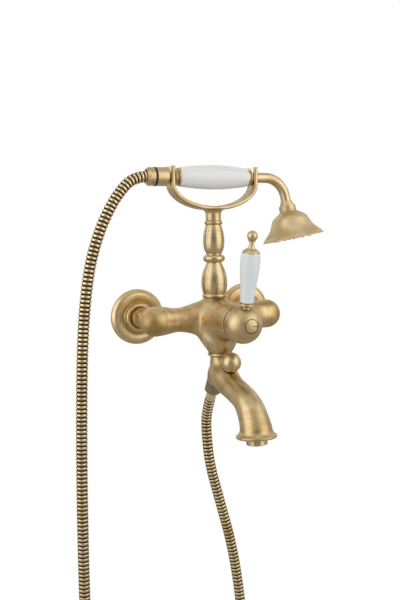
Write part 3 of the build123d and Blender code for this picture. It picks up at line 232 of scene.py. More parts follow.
class Sheet:
    """The node tree of one material or of the world."""

    def __init__(self, tree):
        self.tree = tree
        tree.nodes.clear()

    def node(self, kind, settings=None, inputs=None):
        """Adds a node, sets it, joins its inputs, and returns its outputs as wires."""
        made = self.tree.nodes.new("ShaderNode" + kind)
        for name, value in (settings or {}).items():
            setattr(made, name, value)
        for key, value in (inputs or {}).items():
            if isinstance(value, Wire):
                self.tree.links.new(value.socket, made.inputs[key])
            else:
                made.inputs[key].default_value = value
        return [Wire(self, socket) for socket in made.outputs]

    def mix(self, factor, low, high):
        """One colour turning into another by a factor."""
        return self.node("Mix", {"data_type": "RGBA"}, {0: factor, 6: low, 7: high})[2]

    def mix_shader(self, factor, first, second):
        """One shader turning into another by a factor."""
        return self.node("MixShader", None, {0: factor, 1: first, 2: second})[0]

    def spread(self, value, low, high):
        """A value stretched from low..high to 0..1 and held there."""
        return self.node("MapRange", {"clamp": True}, {0: value, 1: low, 2: high})[0]

    def larger(self, first, second):
        """The larger of two values."""
        return self.node("Math", {"operation": "MAXIMUM"}, {0: first, 1: second})[0]

    def vectors(self, operation, *inputs):
        """The outputs of a Vector Math node."""
        return self.node("VectorMath", {"operation": operation}, dict(enumerate(inputs)))

    def place(self):
        """The place of the surface."""
        return self.node("TexCoord")[OBJECT_PLACE]

    def along(self, axis):
        """Distance along an axis, from its point, in metres."""
        point, direction = axis
        shifted = self.vectors("SUBTRACT", self.place(), point)[VECTOR]
        return self.vectors("DOT_PRODUCT", shifted, direction)[VALUE]

    def across(self, axis):
        """Distance from an axis, in metres."""
        point, direction = axis
        shifted = self.vectors("SUBTRACT", self.place(), point)[VECTOR]
        arm = self.vectors("CROSS_PRODUCT", shifted, direction)[VECTOR]
        return self.vectors("LENGTH", arm)[VALUE]

    def cloud(self, scale, detail=3.0, twist=0.0):
        """Noise over the surface, from 0 to 1."""
        return self.node("TexNoise", None, {
            "Vector": self.place(), "Scale": scale, "Detail": detail, "Distortion": twist})[0]

    def bands(self, distance, scale, detail):
        """Noise along one distance, from 0 to 1."""
        return self.node("TexNoise", {"noise_dimensions": "1D"}, {"W": distance * scale, "Detail": detail})[0]

    def relief(self, strength, depth, height):
        """A bump to be joined to a shader's normal."""
        return self.node("Bump", None, {"Strength": strength, "Distance": depth, "Height": height})[0]


def colour(values, share=1.0):
    """A share of a colour, with its alpha."""
    return (*(value * share for value in values), 1.0)


def new_material(name):
    """An empty material and its sheet."""
    material = bpy.data.materials.new(name)
    material.use_nodes = True
    return material, Sheet(material.node_tree)


def close(sheet, shader):
    """Joins a shader to the material's output."""
    sheet.node("OutputMaterial", None, {"Surface": shader})


def turned(axis):
    """Brush lines round an axis, as on a piece turned on the lathe."""
    return lambda sheet: sheet.along(axis)


def faced(axis):
    """Brush lines in rings, as on a disc faced on the lathe."""
    return lambda sheet: sheet.across(axis)


def hand_rubbed(scale):
    """Brush lines that wander, as on a piece rubbed by hand; the scale is in cells to a metre."""
    return lambda sheet: sheet.cloud(scale, 2.0)


# Noise in the brass, in cells to a metre, and the broad bands' share of the brush lines
CLOUD_SCALE, SPECK_SCALE, SWIRL_SCALE, BROAD_BANDS = 30.0, 190.0, 24.0, 0.16
# Share of the broad bands and of the specks in the patina, and where it begins and is full on unworn brass
PATINA_BANDS, PATINA_SPECKS, PATINA_START, PATINA_FULL = 0.32, 0.14, 0.44, 0.88
# How far full wear pushes the patina back
WEAR_REACH = 0.3
# Levels between which a brush line darkens, and by how much
LINE_LEVELS, LINE_DEPTH = (0.3, 0.7), 0.34
# Level, width and share of the dark colour in the swirls
SWIRL_LEVEL, SWIRL_WIDTH, SWIRL_SHADE = 0.47, 0.085, 0.62
# Painted shade: ambient occlusion darkens seams and recesses towards the seam colour; the distance it reaches,
# in metres, the occlusion where it begins and is full, and its samples
SEAM_REACH, SEAM_SHADING, SEAM_SAMPLES = 0.0020, (0.50, 0.95), 8
# Strength of the bump, its depth in metres, and the shares of the brush lines and the specks in it
BRUSH_BUMP, BRUSH_DEPTH, BUMP_LINES, BUMP_SPECKS = 0.05, 0.0004, 0.8, 0.2
# What the brush lines and the patina add to the roughness, and what comes off in return
ROUGH_LINES, ROUGH_PATINA, ROUGH_OFFSET = 0.10, 0.10, -0.08


def brass(name, grain, lighting_tone=1.0, wear=0.5, cloudy=1.0, swirls=0.0, dirt=None, satin=0.0):
    """Brushed antique brass; grain gives the distance that the brush lines lie square to."""
    look = bpy.context.scene.mixer_metal
    material, sheet = new_material(name)
    distance = grain(sheet)
    fine = sheet.bands(distance, look.line_scale, 3.0)
    broad = sheet.bands(distance, look.line_scale * BROAD_BANDS, 1.0)
    clouds = sheet.cloud(CLOUD_SCALE, 4.0, 0.9)
    specks = sheet.cloud(SPECK_SCALE, 3.0)
    mottle = clouds * cloudy + broad * PATINA_BANDS + specks * PATINA_SPECKS
    rubbing = wear * WEAR_REACH
    patina = sheet.spread(mottle, PATINA_START + rubbing, PATINA_FULL + rubbing)
    # Painted light and shade: the tone makes the whole piece lighter or darker for how the light falls on it
    rubbed = sheet.mix(patina, colour(look.light, lighting_tone), colour(look.dark, lighting_tone))
    lined = sheet.mix(sheet.spread(fine, *LINE_LEVELS) * LINE_DEPTH, rubbed, colour(look.dark, lighting_tone))
    if swirls:
        edge = abs(sheet.cloud(SWIRL_SCALE, 1.0, 1.2) - SWIRL_LEVEL)
        lined = sheet.mix(sheet.spread(edge, SWIRL_WIDTH, 0.0) * swirls, lined, colour(look.dark, SWIRL_SHADE))
    # Painted shade: ambient occlusion darkens the colour in seams and recesses, joined with the dirt of the
    # joints
    nearby = sheet.node("AmbientOcclusion", {"samples": SEAM_SAMPLES}, {"Distance": SEAM_REACH})[1]
    shade_and_dirt = sheet.spread(1.0 - nearby, *SEAM_SHADING)
    if dirt:
        shade_and_dirt = sheet.larger(shade_and_dirt, dirt(sheet))
    roughness = fine * ROUGH_LINES + patina * ROUGH_PATINA + (look.roughness + satin + ROUGH_OFFSET)
    shader = sheet.node("BsdfPrincipled", None, {
        "Base Color": sheet.mix(shade_and_dirt, lined, colour(look.seam)), "Metallic": 1.0, "Roughness": roughness,
        "Normal": sheet.relief(BRUSH_BUMP, BRUSH_DEPTH, fine * BUMP_LINES + specks * BUMP_SPECKS)})[0]
    close(sheet, shader)
    return material


# Unevenness of the glaze: noise and waves to a metre, bump strength and depth in metres
GLAZE_SCALE, GLAZE_WAVES, GLAZE_BUMP, GLAZE_DEPTH = 60.0, 120.0, 0.015, 0.0004
# Strength of the darker patches, their share of the colour, what they add to the roughness, and the clear coat
GLAZE_PATCHES, GLAZE_SHADE, GLAZE_ROUGH, COAT_WEIGHT, COAT_ROUGHNESS = 0.35, 0.93, 0.08, 0.35, 0.08


def porcelain(name, tint, axis):
    """Glazed porcelain with a faint unevenness."""
    look = bpy.context.scene.mixer_porcelain
    material, sheet = new_material(name)
    clouds = sheet.cloud(GLAZE_SCALE, 2.0)
    waves = sheet.bands(sheet.along(axis), GLAZE_WAVES, 1.0)
    shader = sheet.node("BsdfPrincipled", None, {
        "Base Color": sheet.mix(clouds * GLAZE_PATCHES, colour(tint), colour(tint, GLAZE_SHADE)),
        "Roughness": clouds * GLAZE_ROUGH + look.roughness,
        "Normal": sheet.relief(GLAZE_BUMP, GLAZE_DEPTH, waves * 0.5 + clouds * 0.5),
        "Coat Weight": COAT_WEIGHT, "Coat Roughness": COAT_ROUGHNESS})[0]
    close(sheet, shader)
    return material


# Grain of the plain materials: noise to a metre, bump strength and depth in metres
PLAIN_SCALE, PLAIN_BUMP, PLAIN_DEPTH = 250.0, 0.08, 0.0003
# Strength of the darker patches, their share of the colour, and what they add to the roughness
PLAIN_PATCHES, PLAIN_SHADE, PLAIN_ROUGH = 0.5, 0.75, 0.15


def plain(name, tint, roughness, metallic=0.0):
    """Rubber, plastic, ceramic or steel with a little variation."""
    material, sheet = new_material(name)
    clouds = sheet.cloud(PLAIN_SCALE, 3.0)
    shader = sheet.node("BsdfPrincipled", None, {
        "Base Color": sheet.mix(clouds * PLAIN_PATCHES, colour(tint), colour(tint, PLAIN_SHADE)),
        "Metallic": metallic, "Roughness": clouds * PLAIN_ROUGH + roughness,
        "Normal": sheet.relief(PLAIN_BUMP, PLAIN_DEPTH, clouds)})[0]
    close(sheet, shader)
    return material


def dress(obj, *materials):
    """Gives an object its materials in place of those it has."""
    obj.data.materials.clear()
    for material in materials:
        obj.data.materials.append(material)


def dress_nodes(names, material):
    """Gives CAD pieces one material."""
    for name in names:
        dress(NODES[name], material)


def shade_smooth(mesh):
    """Shades all faces of a mesh smooth."""
    mesh.polygons.foreach_set("use_smooth", [True] * len(mesh.polygons))


def mesh_object(name, points, faces):
    """A smooth shaded mesh linked to the scene."""
    mesh = bpy.data.meshes.new(name)
    mesh.from_pydata(points, [], faces)
    mesh.update()
    shade_smooth(mesh)
    obj = bpy.data.objects.new(name, mesh)
    bpy.context.scene.collection.objects.link(obj)
    return obj


# Points that lie nearer together than this on the route count as one, in metres
SAME_POINT = 1e-7
# Points to a piece of the route's curve
ROUTE_STEPS = 48
# Step to either side in which the direction of the hose is measured, in metres
TANGENT_STEP = 0.0005


def route_line():
    """Points along the smooth line of the hose's route."""
    curve = bpy.data.curves.new("hose_route", "CURVE")
    curve.dimensions = "3D"
    curve.resolution_u = ROUTE_STEPS
    spline = curve.splines.new("NURBS")
    spline.points.add(len(HOSE_ROUTE) - 1)
    for point, place in zip(spline.points, HOSE_ROUTE):
        point.co = (*place, 1.0)
    spline.order_u = 3
    spline.use_endpoint_u = True
    carrier = bpy.data.objects.new("hose_route", curve)
    mesh = bpy.data.meshes.new_from_object(carrier)
    line = np.array([vertex.co[:] for vertex in mesh.vertices])
    bpy.data.meshes.remove(mesh)
    bpy.data.objects.remove(carrier)
    bpy.data.curves.remove(curve)
    steps = np.linalg.norm(np.diff(line, axis=0), axis=1)
    return line[np.concatenate(([True], steps > SAME_POINT))]


def rib_stations(sizes, reach):
    """Distance along the hose, radius, and groove or crest, for each ring of points."""
    crowding = np.interp(reach, *zip(*RIB_CROWDING))
    pitches = sizes.pitch * (crowding[1:] + crowding[:-1]) / 2
    turns = np.concatenate(([0.0], np.cumsum(np.diff(reach) / pitches)))
    ribs = round(turns[-1])
    turns *= ribs / turns[-1]
    marks, radii, grooves = [0.0], [sizes.groove], [True]
    for rib in range(ribs):
        for share, rise, groove in RIB_SECTION:
            marks.append(rib + share)
            radii.append(sizes.groove + (sizes.radius - sizes.groove) * rise)
            grooves.append(groove)
    return np.interp(marks, turns, reach), radii, grooves


class BATHMIXER_OT_hose(bpy.types.Operator):
    """Builds the ribbed hose along its hanging route"""

    bl_idname = "bathmixer.hose"
    bl_label = "Hose"

    def execute(self, context):
        sizes = context.scene.mixer_hose
        line = route_line()
        reach = np.concatenate(([0.0], np.cumsum(np.linalg.norm(np.diff(line, axis=0), axis=1))))
        stations, radii, grooves = rib_stations(sizes, reach)
        behind, spots, ahead = (
            np.stack([np.interp(stations + step, reach, line[:, k]) for k in range(3)], 1)
            for step in (-TANGENT_STEP, 0.0, TANGENT_STEP))
        tangents = ahead - behind
        tangents /= np.linalg.norm(tangents, axis=1)[:, None]

        count = sizes.sides
        angles = np.linspace(0.0, 2 * math.pi, count, endpoint=False)
        points = []
        for spot, tangent, radius in zip(spots, tangents, radii):
            side = np.array((0.0, 1.0, 0.0)) - tangent * tangent[1]
            side /= np.linalg.norm(side)
            other = np.cross(tangent, side)
            ring = np.outer(np.cos(angles), side) + np.outer(np.sin(angles), other)
            points.extend((spot + ring * radius).tolist())
        faces, slots = [], []
        for row in range(len(spots) - 1):
            near, far = row * count, (row + 1) * count
            for k in range(count):
                n = (k + 1) % count
                faces.append((near + k, near + n, far + n, far + k))
                slots.append(int(grooves[row]))
        faces.append(tuple(range(count - 1, -1, -1)))
        faces.append(tuple(range((len(spots) - 1) * count, len(spots) * count)))
        slots += [1, 1]

        hose = mesh_object("hose_tube", points, faces)
        # Painted light: the tone makes the hose's brass lighter
        dress(hose, brass("hose_brass", hand_rubbed(400.0), lighting_tone=1.18, wear=0.85, satin=-0.06),
              plain("hose_groove", (0.014, 0.009, 0.006), roughness=0.8))
        hose.data.polygons.foreach_set("material_index", slots)
        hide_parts("hose")
        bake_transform(hose)
        return {"FINISHED"}


# Faces of the CAD pieces that meet at less than this are shaded as one, in degrees
SMOOTH_ANGLE = 35.0


def smooth_cad(names):
    """Shades CAD pieces smooth, apart from their edges."""
    for name in names:
        mesh = NODES[name].data
        shade_smooth(mesh)
        mesh.set_sharp_from_angle(angle=math.radians(SMOOTH_ANGLE))


# Plug in the front of the lever's ball: its radius, and where its face begins along the barrel, in metres
PLUG_RADIUS, PLUG_FRONT = 0.0080, (0.017, 0.018)
# Distance from the joint, from the line across and from the ring where dirt begins and is full, in metres
JOINT_DIRT, LINE_DIRT, RING_DIRT = (0.0009, 0.0003), (0.0008, 0.0004), (0.0007, 0.0003)
# Where the line across fades in from the middle of the plug, and out before its joint
LINE_MIDDLE, LINE_END = (0.0, 0.0006), (PLUG_RADIUS, PLUG_RADIUS - 0.0004)
# Strength of the dirt round the plug and at the ring
PLUG_DIRTY, RING_DIRTY = 0.6, 0.95


def plug_joint(sheet):
    """Dirt in the joint round the plug of the lever's ball, and in the line across half of it."""
    ring = sheet.across(BARREL_AXIS)
    front = sheet.spread(sheet.along(BARREL_AXIS), *PLUG_FRONT)
    joint = sheet.spread(abs(ring - PLUG_RADIUS), *JOINT_DIRT)
    half = sheet.spread(sheet.along(CROSS_AXIS), *LINE_MIDDLE) * sheet.spread(ring, *LINE_END)
    line = sheet.spread(abs(sheet.along(UPRIGHT_AXIS)), *LINE_DIRT) * half
    return sheet.larger(joint, line) * front * PLUG_DIRTY


def ring_joint(sheet):
    """Dirt on the handset's connector at both sides of its black swivel ring."""
    low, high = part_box("swivel_ring")
    middle, half = (low[0] + high[0]) / 2, (high[0] - low[0]) / 2
    off = abs(sheet.along(HANDSET_AXIS) - middle)
    return sheet.spread(off, *(half + reach for reach in RING_DIRT)) * RING_DIRTY


# Pieces turned on the lathe: finish, axis, what differs in the brass, and the pieces
# A tone among the differences is painted light and shade: it makes the piece lighter or darker for how the
# light falls on it
TURNED_PIECES = (
    ("column", COLUMN_AXIS, {"lighting_tone": 0.94, "satin": -0.06}, ("column",)),
    ("handset", HANDSET_AXIS, {"dirt": ring_joint},
     ("handset_connector", "hose_nut_upper", "handle_ferrule_rear", "handle_ferrule_front",
      "hose_ferrule_upper")),
    ("lever", LEVER_AXIS, {}, ("lever_ferrule", "lever_finial")),
    ("collar", COLUMN_AXIS, {}, ("spout_collar",)),
    ("outlet", OUTLET_AXIS, {}, ("aerator_housing",)),
    ("hose_end", HOSE_AXIS, {"lighting_tone": 1.3}, ("hose_ferrule_lower",)),
    ("barrel", BARREL_AXIS, {},
     ("cartridge_nut", "diverter_knob", "diverter_bonnet", "diverter_rod", "diverter_piston")),
)
TURNED_WEAR = 0.65


class BATHMIXER_OT_metal(bpy.types.Operator):
    """Gives the brass pieces their brushed antique finish"""

    bl_idname = "bathmixer.metal"
    bl_label = "Brass pieces"

    def execute(self, context):
        # Painted light and shade: the tones below make each piece lighter or darker for how the light falls on
        # it, the nuts lighter for the shade they sit in
        for finish, axis, differs, names in TURNED_PIECES:
            dress_nodes(names, brass("brass_" + finish, turned(axis), wear=TURNED_WEAR, **differs))
        nuts = brass("brass_nuts", hand_rubbed(300.0), lighting_tone=1.22, wear=0.9, satin=-0.14)
        for side, x in INLETS.items():
            rings = brass("brass_rings_" + side, faced(((x, 0.0, 0.0), (0.0, -1.0, 0.0))), lighting_tone=1.12)
            dress_nodes(("flange_" + side, "union_" + side), rings)
            dress(NODES["union_nut_" + side], nuts)
        bell = brass("brass_bell", turned(HEAD_AXIS), lighting_tone=1.05, wear=0.7, satin=0.12)
        dress_nodes(("head_bell", "head_collar"), bell)
        dress(NODES["fork"], brass("brass_fork", hand_rubbed(90.0), lighting_tone=0.97, wear=0.6))
        dress(NODES["handset_neck"], brass("brass_neck", hand_rubbed(90.0), wear=0.8))
        ball = brass("brass_ball", turned(BARREL_AXIS), swirls=0.15, dirt=plug_joint, satin=0.04)
        dress_nodes(("lever_ball", "index_plug"), ball)
        bronze = plain("dark_bronze", (0.27, 0.215, 0.135), roughness=0.5, metallic=0.6)
        dress(NODES["hose_nut_lower"], bronze)
        smooth_cad([name for name in NODES if name != "hose"])
        return {"FINISHED"}


# Hidden pieces and seals: material, colour, roughness, metallic, and the pieces
INNER_PIECES = (
    ("black_rubber", (0.014, 0.014, 0.014), 0.55, 0.0,
     ("union_washers", "cartridge_seals", "spout_seal", "diverter_seal", "aerator_gasket", "hose_washer_lower",
      "hose_washer_upper", "spray_gasket", "swivel_ring")),
    ("white_plastic", (0.72, 0.71, 0.68), 0.40, 0.0,
     ("cartridge_housing", "cartridge_rotor", "cartridge_carrier", "aerator_insert")),
    ("disc_ceramic", (0.80, 0.78, 0.72), 0.25, 0.0, ("cartridge_fixed_disc", "cartridge_moving_disc")),
    ("steel", (0.55, 0.55, 0.55), 0.30, 1.0,
     ("cartridge_pin", "lever_screw", "cartridge_spindle", "handset_core", "lever_stem", "column_stud")),
)


class BATHMIXER_OT_inner(bpy.types.Operator):
    """Gives the hidden pieces, the seals and the porcelain their finishes"""

    bl_idname = "bathmixer.inner"
    bl_label = "Porcelain, seals and inner pieces"

    def execute(self, context):
        look = context.scene.mixer_porcelain
        dress(NODES["handset_handle"], porcelain("porcelain_handle", look.handle, HANDSET_AXIS))
        dress(NODES["lever_sleeve"], porcelain("porcelain_lever", look.lever, LEVER_AXIS))
        for name, tint, roughness, metallic, names in INNER_PIECES:
            dress_nodes(names, plain(name, tint, roughness, metallic))
        return {"FINISHED"}


def ease(values, low, high):
    """Values that rise smoothly from 0 at low to 1 at high."""
    share = np.clip((values - low) / (high - low), 0.0, 1.0)
    return share * share * (3.0 - 2.0 * share)


# Size of the even mesh of the cast pieces, in metres
CAST_MESH = 0.0009


def fine_copy(name, node):
    """A copy of a CAD piece in a fine even mesh."""
    draft = bpy.data.objects.new(name + "_draft", NODES[node].data.copy())
    bpy.context.scene.collection.objects.link(draft)
    remesh = draft.modifiers.new("fine", "REMESH")
    remesh.mode = "VOXEL"
    remesh.voxel_size = CAST_MESH
    mesh = bpy.data.meshes.new_from_object(draft.evaluated_get(bpy.context.evaluated_depsgraph_get()))
    bpy.data.objects.remove(draft)
    mesh.name = name
    obj = bpy.data.objects.new(name, mesh)
    bpy.context.scene.collection.objects.link(obj)
    return obj


def read_points(mesh):
    """The points of a mesh as an array."""
    points = np.empty(len(mesh.vertices) * 3)
    mesh.vertices.foreach_get("co", points)
    return points.reshape(-1, 3)


def write_points(mesh, points):
    """Moves the points of a mesh."""
    mesh.vertices.foreach_set("co", points.ravel())
    mesh.update()


def read_normals(mesh):
    """The directions in which a mesh faces at its points."""
    normals = np.empty(len(mesh.vertices) * 3)
    mesh.vertex_normals.foreach_get("vector", normals)
    return normals.reshape(-1, 3)


# Rounds after which the directions are read anew, and the part of the way that a point goes in one round
DIRECTION_ROUNDS, FILL_STEP, SETTLE_STEP = 10, 0.8, 0.5


def fill_corners(obj, weights, rounds, settle):
    """Fills inner corners like poured metal: points move out where their neighbours lie further out."""
    mesh = obj.data
    points = read_points(mesh)
    pairs = np.empty(len(mesh.edges) * 2, dtype=np.int64)
    mesh.edges.foreach_get("vertices", pairs)
    first = np.concatenate((pairs[0::2], pairs[1::2]))
    second = np.concatenate((pairs[1::2], pairs[0::2]))
    count = np.maximum(np.bincount(first, minlength=len(points)), 1)

    def pull():
        means = np.stack([np.bincount(first, points[second, k], len(points)) for k in range(3)], 1)
        return means / count[:, None] - points

    for turn in range(rounds):
        if turn % DIRECTION_ROUNDS == 0:
            write_points(mesh, points)
            normals = read_normals(mesh)
        rise = np.maximum((pull() * normals).sum(1), 0.0)
        points += normals * (rise * weights * FILL_STEP)[:, None]
    for _ in range(settle):
        points += pull() * (SETTLE_STEP * weights)[:, None]
    write_points(mesh, points)
    shade_smooth(mesh)


# Bores of the body, which keep their shape: radius and bottom, each from where it holds to where filling begins
ARM_BORE = (0.0085, 0.0105)
CARTRIDGE_BORE, CARTRIDGE_BOTTOM = (0.0182, 0.0192), (-0.088, -0.084)
STUD_BORE, STUD_BOTTOM = (0.0085, 0.0100), (-0.013, -0.010)
COLLAR_BORE, COLLAR_BOTTOM = (0.0118, 0.0128), (-0.030, -0.020)
# Where the filling fades out along the arms, the barrel, the top boss and the bottom boss
ARM_FADE, BARREL_FADE, TOP_FADE, FOOT_FADE = (0.046, 0.060), (0.098, 0.112), (0.0185, 0.0245), (0.031, 0.038)
BODY_ROUNDS, BODY_SETTLE = 260, 6


class BATHMIXER_OT_body(bpy.types.Operator):
    """Blends the arms, the bulb and the barrel of the cast body into each other"""

    bl_idname = "bathmixer.body"
    bl_label = "Cast body"

    def execute(self, context):
        body = fine_copy("cast_body", "mixer_body")
        x, y, z = read_points(body.data).T
        arms, stud, collar = (y - axis[0][1] for axis in (ARM_AXIS, COLUMN_AXIS, SPOUT_AXIS))
        weights = ease(np.hypot(arms, z), *ARM_BORE)
        weights *= np.maximum(ease(np.hypot(x, z), *CARTRIDGE_BORE), ease(y, *CARTRIDGE_BOTTOM))
        weights *= np.maximum(ease(np.hypot(x, stud), *STUD_BORE), ease(-z, *STUD_BOTTOM))
        weights *= np.maximum(ease(np.hypot(x, collar), *COLLAR_BORE), ease(z, *COLLAR_BOTTOM))
        for reach, fade in ((np.abs(x), ARM_FADE), (-y, BARREL_FADE), (z, TOP_FADE), (-z, FOOT_FADE)):
            weights *= 1.0 - ease(reach, *fade)
        fill_corners(body, weights, BODY_ROUNDS, BODY_SETTLE)
        # Painted light: the tone makes the body's brass lighter
        dress(body, brass("brass_body", turned(ARM_AXIS), lighting_tone=1.13, wear=0.40, cloudy=1.15, swirls=0.30,
                          satin=0.04))
        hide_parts("mixer_body")
        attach(body, "mixer")
        return {"FINISHED"}


def from_line(points, start, end):
    """Distances of points from a straight run."""
    start, end = np.array(start), np.array(end)
    run = end - start
    share = np.clip((points - start) @ run / (run @ run), 0.0, 1.0)
    return np.linalg.norm(points - start - share[:, None] * run, axis=1)


def clear_bore(mesh, node, gap):
    """Keeps a fine mesh clear of a round piece that lies along Y in one of its blind bores.

    Only points within two or three gaps of the piece are moved, so that the wall's outside stays.
    """
    points = read_points(mesh)
    low, high = (np.array(corner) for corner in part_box(node))
    middle, radius = (low + high) / 2, (high[0] - low[0]) / 2
    away = points - middle
    reach = np.hypot(away[:, 0], away[:, 2])
    near = (reach < radius + 3 * gap) & (points[:, 1] > low[1] - gap) & (points[:, 1] < high[1] + 3 * gap)
    end = near & (points[:, 1] > high[1] - 2 * gap)
    points[end, 1] = np.maximum(points[end, 1], high[1] + gap)
    wall = near & (reach > radius - 2 * gap)
    share = np.maximum(1.0, (radius + gap) / reach[wall])
    points[wall, 0] = middle[0] + away[wall, 0] * share
    points[wall, 2] = middle[2] + away[wall, 2] * share
    write_points(mesh, points)


# Bores of the spout, which keep their shape: radius from where it holds to where filling begins, in metres
HOSE_BORE, WATER_BORE, DIVERTER_BORE = (0.0070, 0.0082), (0.0072, 0.0082), (0.0135, 0.0165)
# Length of the hose outlet's bore, back end of the diverter's bore, and room round the piston
HOSE_BORE_LENGTH, DIVERTER_BACK, PISTON_GAP = 0.045, -0.066, 0.0004
# Where the filling fades out: under the collar, towards the mouth, and along the hose outlet
COLLAR_FADE, MOUTH_FADE, OUTLET_FADE = (0.0480, 0.0540), (0.100, 0.116), (0.0170, 0.0225)
SPOUT_ROUNDS, SPOUT_SETTLE = 160, 10


class BATHMIXER_OT_spout(bpy.types.Operator):
    """Blends the hose outlet into the back of the cast spout"""

    bl_idname = "bathmixer.spout"
    bl_label = "Cast spout"

    def execute(self, context):
        spout = fine_copy("cast_spout", "spout")
        clear_bore(spout.data, "diverter_piston", PISTON_GAP)
        points = read_points(spout.data)
        outlet, way = (np.array(v) for v in HOSE_AXIS)
        weights = ease(from_line(points, outlet, outlet + way * HOSE_BORE_LENGTH), *HOSE_BORE)
        for start, end in zip(WATER_WAY, WATER_WAY[1:]):
            weights *= ease(from_line(points, start, end), *WATER_BORE)
        low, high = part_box("diverter_knob")
        middle = [(a + b) / 2 for a, b in zip(low, high)]
        weights *= ease(from_line(points, (0.0, DIVERTER_BACK, middle[2]), middle), *DIVERTER_BORE)
        weights *= ease(-points[:, 2], *COLLAR_FADE) * (1.0 - ease(-points[:, 1], *MOUTH_FADE))
        weights *= 1.0 - ease((points - outlet) @ way, *OUTLET_FADE)
        fill_corners(spout, weights, SPOUT_ROUNDS, SPOUT_SETTLE)
        dress(spout, brass("brass_spout", turned(SPOUT_AXIS), swirls=0.20))
        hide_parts("spout")
        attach(spout, "mixer")
        return {"FINISHED"}


class BATHMIXER_OT_spray_face(bpy.types.Operator):
    """Gives the spray face its finish"""

    bl_idname = "bathmixer.spray_face"
    bl_label = "Spray face"

    def execute(self, context):
        dress(NODES["spray_plate"], brass("brass_spray", hand_rubbed(120.0)))
        return {"FINISHED"}


# Soft boxes: name, degrees from the camera's azimuth, degrees of height, width and height in metres, brightness
SOFT_BOXES = (
    ("left", -62.0, 14.0, (1.35, 2.0), 0.88),
    ("right", 62.0, 14.0, (1.35, 2.0), 0.86),
    ("top", 0.0, 78.0, (1.0, 1.0), 0.50),
)
# Point that the soft boxes face, and their distance from it, in metres
SOFT_BOX_AIM, SOFT_BOX_DISTANCE = (0.0, -0.07, 0.03), 1.3

# Half side of the floor, and the colour that it has under the light
FLOOR_REACH, FLOOR_COLOUR = 6.0, (0.86, 0.86, 0.86)
# Line over the middle of the shadow, and the distances from it where the shadow begins and is full
SHADOW_LINE, SHADOW_FADE = ((-0.05, -0.06, 0.0), (0.0, 0.0, 1.0)), (0.60, 0.30)
# White of the floor away from the shadow and in it, and the part of the shadow that shows
FLOOR_WHITE, SHADOW_WHITE, SHADOW_SHARE = (1.02, 1.02, 1.02), (1.24, 1.24, 1.24), 0.32

# Parts of the room that the metal reflects, by how far a direction points to the camera
REAR_WALL, DARK_STRIP = (-0.22, -0.45), (0.12, -0.02)
# Cone behind the camera, in degrees from its direction
FRONT_CONE = (34.0, 12.0)
# Parts of the room by how far a direction points up: where the dark strip ends, and where the ceiling begins
STRIP_TOP, CEILING = (0.10, 0.45), (0.60, 0.88)


# Long side of the camera's sensor, in millimetres
LONG_SIDE = 36.0


def toward(azimuth, elevation):
    """The direction from the mixer to a place round it; azimuth 0 is the front."""
    level = math.cos(elevation)
    return Vector((math.sin(azimuth) * level, -math.cos(azimuth) * level, math.sin(elevation)))


def set_camera(scene, studio):
    """Puts the camera in its place."""
    back = toward(studio.azimuth, studio.elevation)
    level = Vector((math.cos(studio.azimuth), math.sin(studio.azimuth), 0.0))
    upright = back.cross(level)
    right = level * math.cos(studio.roll) - upright * math.sin(studio.roll)
    up = level * math.sin(studio.roll) + upright * math.cos(studio.roll)
    data = bpy.data.cameras.new("camera")
    data.sensor_width = LONG_SIDE
    data.lens = studio.lens
    camera = bpy.data.objects.new("camera", data)
    turn = Matrix((right, up, back)).transposed().to_4x4()
    camera.matrix_world = Matrix.Translation(studio.place) @ turn
    scene.collection.objects.link(camera)
    scene.camera = camera


def lay_floor(studio):
    """Lays the pale floor, which keeps a soft shadow and is dimmer where the metal reflects it."""
    corners = ((-1, -1), (1, -1), (1, 1), (-1, 1))
    points = [(x * FLOOR_REACH, y * FLOOR_REACH, studio.floor) for x, y in corners]
    floor = mesh_object("floor", points, [(0, 1, 2, 3)])
    material, sheet = new_material("pale_floor")
    matt = sheet.node("BsdfDiffuse", None, {"Color": colour(FLOOR_COLOUR)})[0]
    near = sheet.spread(sheet.across(SHADOW_LINE), *SHADOW_FADE)
    lighting_tone = sheet.mix(near, colour(FLOOR_WHITE), colour(SHADOW_WHITE))
    glow = sheet.node("Emission", None, {"Color": lighting_tone, "Strength": 1.0})[0]
    dim = sheet.node("Emission", None, {"Color": colour(studio.ground), "Strength": 1.0})[0]
    rays = sheet.node("LightPath")
    seen = sheet.mix_shader(rays[CAMERA_RAY] * (1.0 - near * SHADOW_SHARE), matt, glow)
    close(sheet, sheet.mix_shader(rays[GLOSSY_RAY], seen, dim))
    dress(floor, material)


def set_room(scene, studio):
    """Sets the white background, the even light, and the room that the metal reflects."""
    world = bpy.data.worlds.new("studio")
    world.use_nodes = True
    scene.world = world
    sheet = Sheet(world.node_tree)
    rays = sheet.node("LightPath")
    direction = sheet.node("TexCoord")[0]
    to_camera = tuple(toward(studio.azimuth, studio.elevation))
    facing = sheet.vectors("DOT_PRODUCT", direction, to_camera)[VALUE]
    upward = sheet.node("SeparateXYZ", None, {0: direction})[UPWARD]
    rear = sheet.spread(facing, *REAR_WALL)
    strip = sheet.spread(facing, *DARK_STRIP) * (1.0 - sheet.spread(upward, *STRIP_TOP))
    front = sheet.spread(facing, *(math.cos(math.radians(angle)) for angle in FRONT_CONE))
    walls = sheet.mix(strip, colour(studio.room), colour(studio.shade))
    sides = sheet.mix(sheet.spread(upward, *CEILING), walls, colour(studio.overhead))
    room = sheet.mix(front, sheet.mix(rear, sides, colour(studio.backdrop)), colour(studio.front))
    even, shaped, white = (
        sheet.node("Background", None, {"Color": tint, "Strength": strength})[0]
        for tint, strength in ((WHITE, studio.ambient), (room, 1.0), (WHITE, 1.0)))
    lit = sheet.mix_shader(rays[GLOSSY_RAY], even, shaped)
    clear = sheet.larger(rays[CAMERA_RAY], rays[TRANSMISSION_RAY])
    sheet.node("OutputWorld", None, {"Surface": sheet.mix_shader(clear, lit, white)})


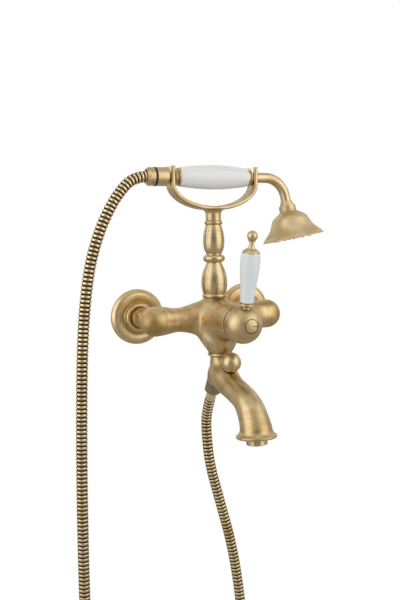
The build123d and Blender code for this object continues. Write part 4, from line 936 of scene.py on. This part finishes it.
def hang_soft_boxes(scene, studio):
    """Hangs the soft boxes round the mixer."""
    aim = Vector(SOFT_BOX_AIM)
    for name, turn, lift, size, brightness in SOFT_BOXES:
        lamp = bpy.data.lights.new(name, "AREA")
        lamp.shape = "RECTANGLE"
        lamp.size, lamp.size_y = size
        lamp.energy = brightness * math.pi * size[0] * size[1]
        away = toward(studio.azimuth + math.radians(turn), math.radians(lift))
        box = bpy.data.objects.new(name, lamp)
        box.location = aim + away * SOFT_BOX_DISTANCE
        box.rotation_euler = (-away).to_track_quat("-Z", "Y").to_euler()
        scene.collection.objects.link(box)


class BATHMIXER_OT_stage(bpy.types.Operator):
    """Sets the floor, the light and the camera"""

    bl_idname = "bathmixer.stage"
    bl_label = "Stage"

    def execute(self, context):
        scene = context.scene
        studio = scene.mixer_studio
        scene.view_settings.view_transform = "Standard"
        set_camera(scene, studio)
        lay_floor(studio)
        set_room(scene, studio)
        hang_soft_boxes(scene, studio)
        return {"FINISHED"}


class BATHMIXER_PT_sidebar(bpy.types.Panel):
    """Lists the pieces of the bath mixer"""

    bl_idname = "BATHMIXER_PT_sidebar"
    bl_label = "Bath mixer"
    bl_space_type = "VIEW_3D"
    bl_region_type = "UI"
    bl_category = "Bath mixer"

    def draw(self, context):
        for operator in OPERATORS:
            self.layout.operator(operator.bl_idname)


GROUPS = {"mixer_metal": MetalFinish, "mixer_porcelain": PorcelainFinish, "mixer_hose": HoseSizes,
          "mixer_studio": StudioSettings}
OPERATORS = (BATHMIXER_OT_stage, BATHMIXER_OT_hose, BATHMIXER_OT_metal, BATHMIXER_OT_inner, BATHMIXER_OT_body,
             BATHMIXER_OT_spout, BATHMIXER_OT_spray_face)


def register():
    """Registers the properties, the operators and the panel."""
    for name, group in GROUPS.items():
        bpy.utils.register_class(group)
        setattr(bpy.types.Scene, name, PointerProperty(type=group))
    for operator in OPERATORS:
        bpy.utils.register_class(operator)
    bpy.utils.register_class(BATHMIXER_PT_sidebar)


def unregister():
    """Takes out what register put in."""
    bpy.utils.unregister_class(BATHMIXER_PT_sidebar)
    for operator in reversed(OPERATORS):
        bpy.utils.unregister_class(operator)
    for name, group in GROUPS.items():
        delattr(bpy.types.Scene, name)
        bpy.utils.unregister_class(group)


def main():
    """Builds every piece."""
    register()
    for operator in OPERATORS:
        space, _, name = operator.bl_idname.partition(".")
        getattr(getattr(bpy.ops, space), name)()


if __name__ == "__main__":
    main()
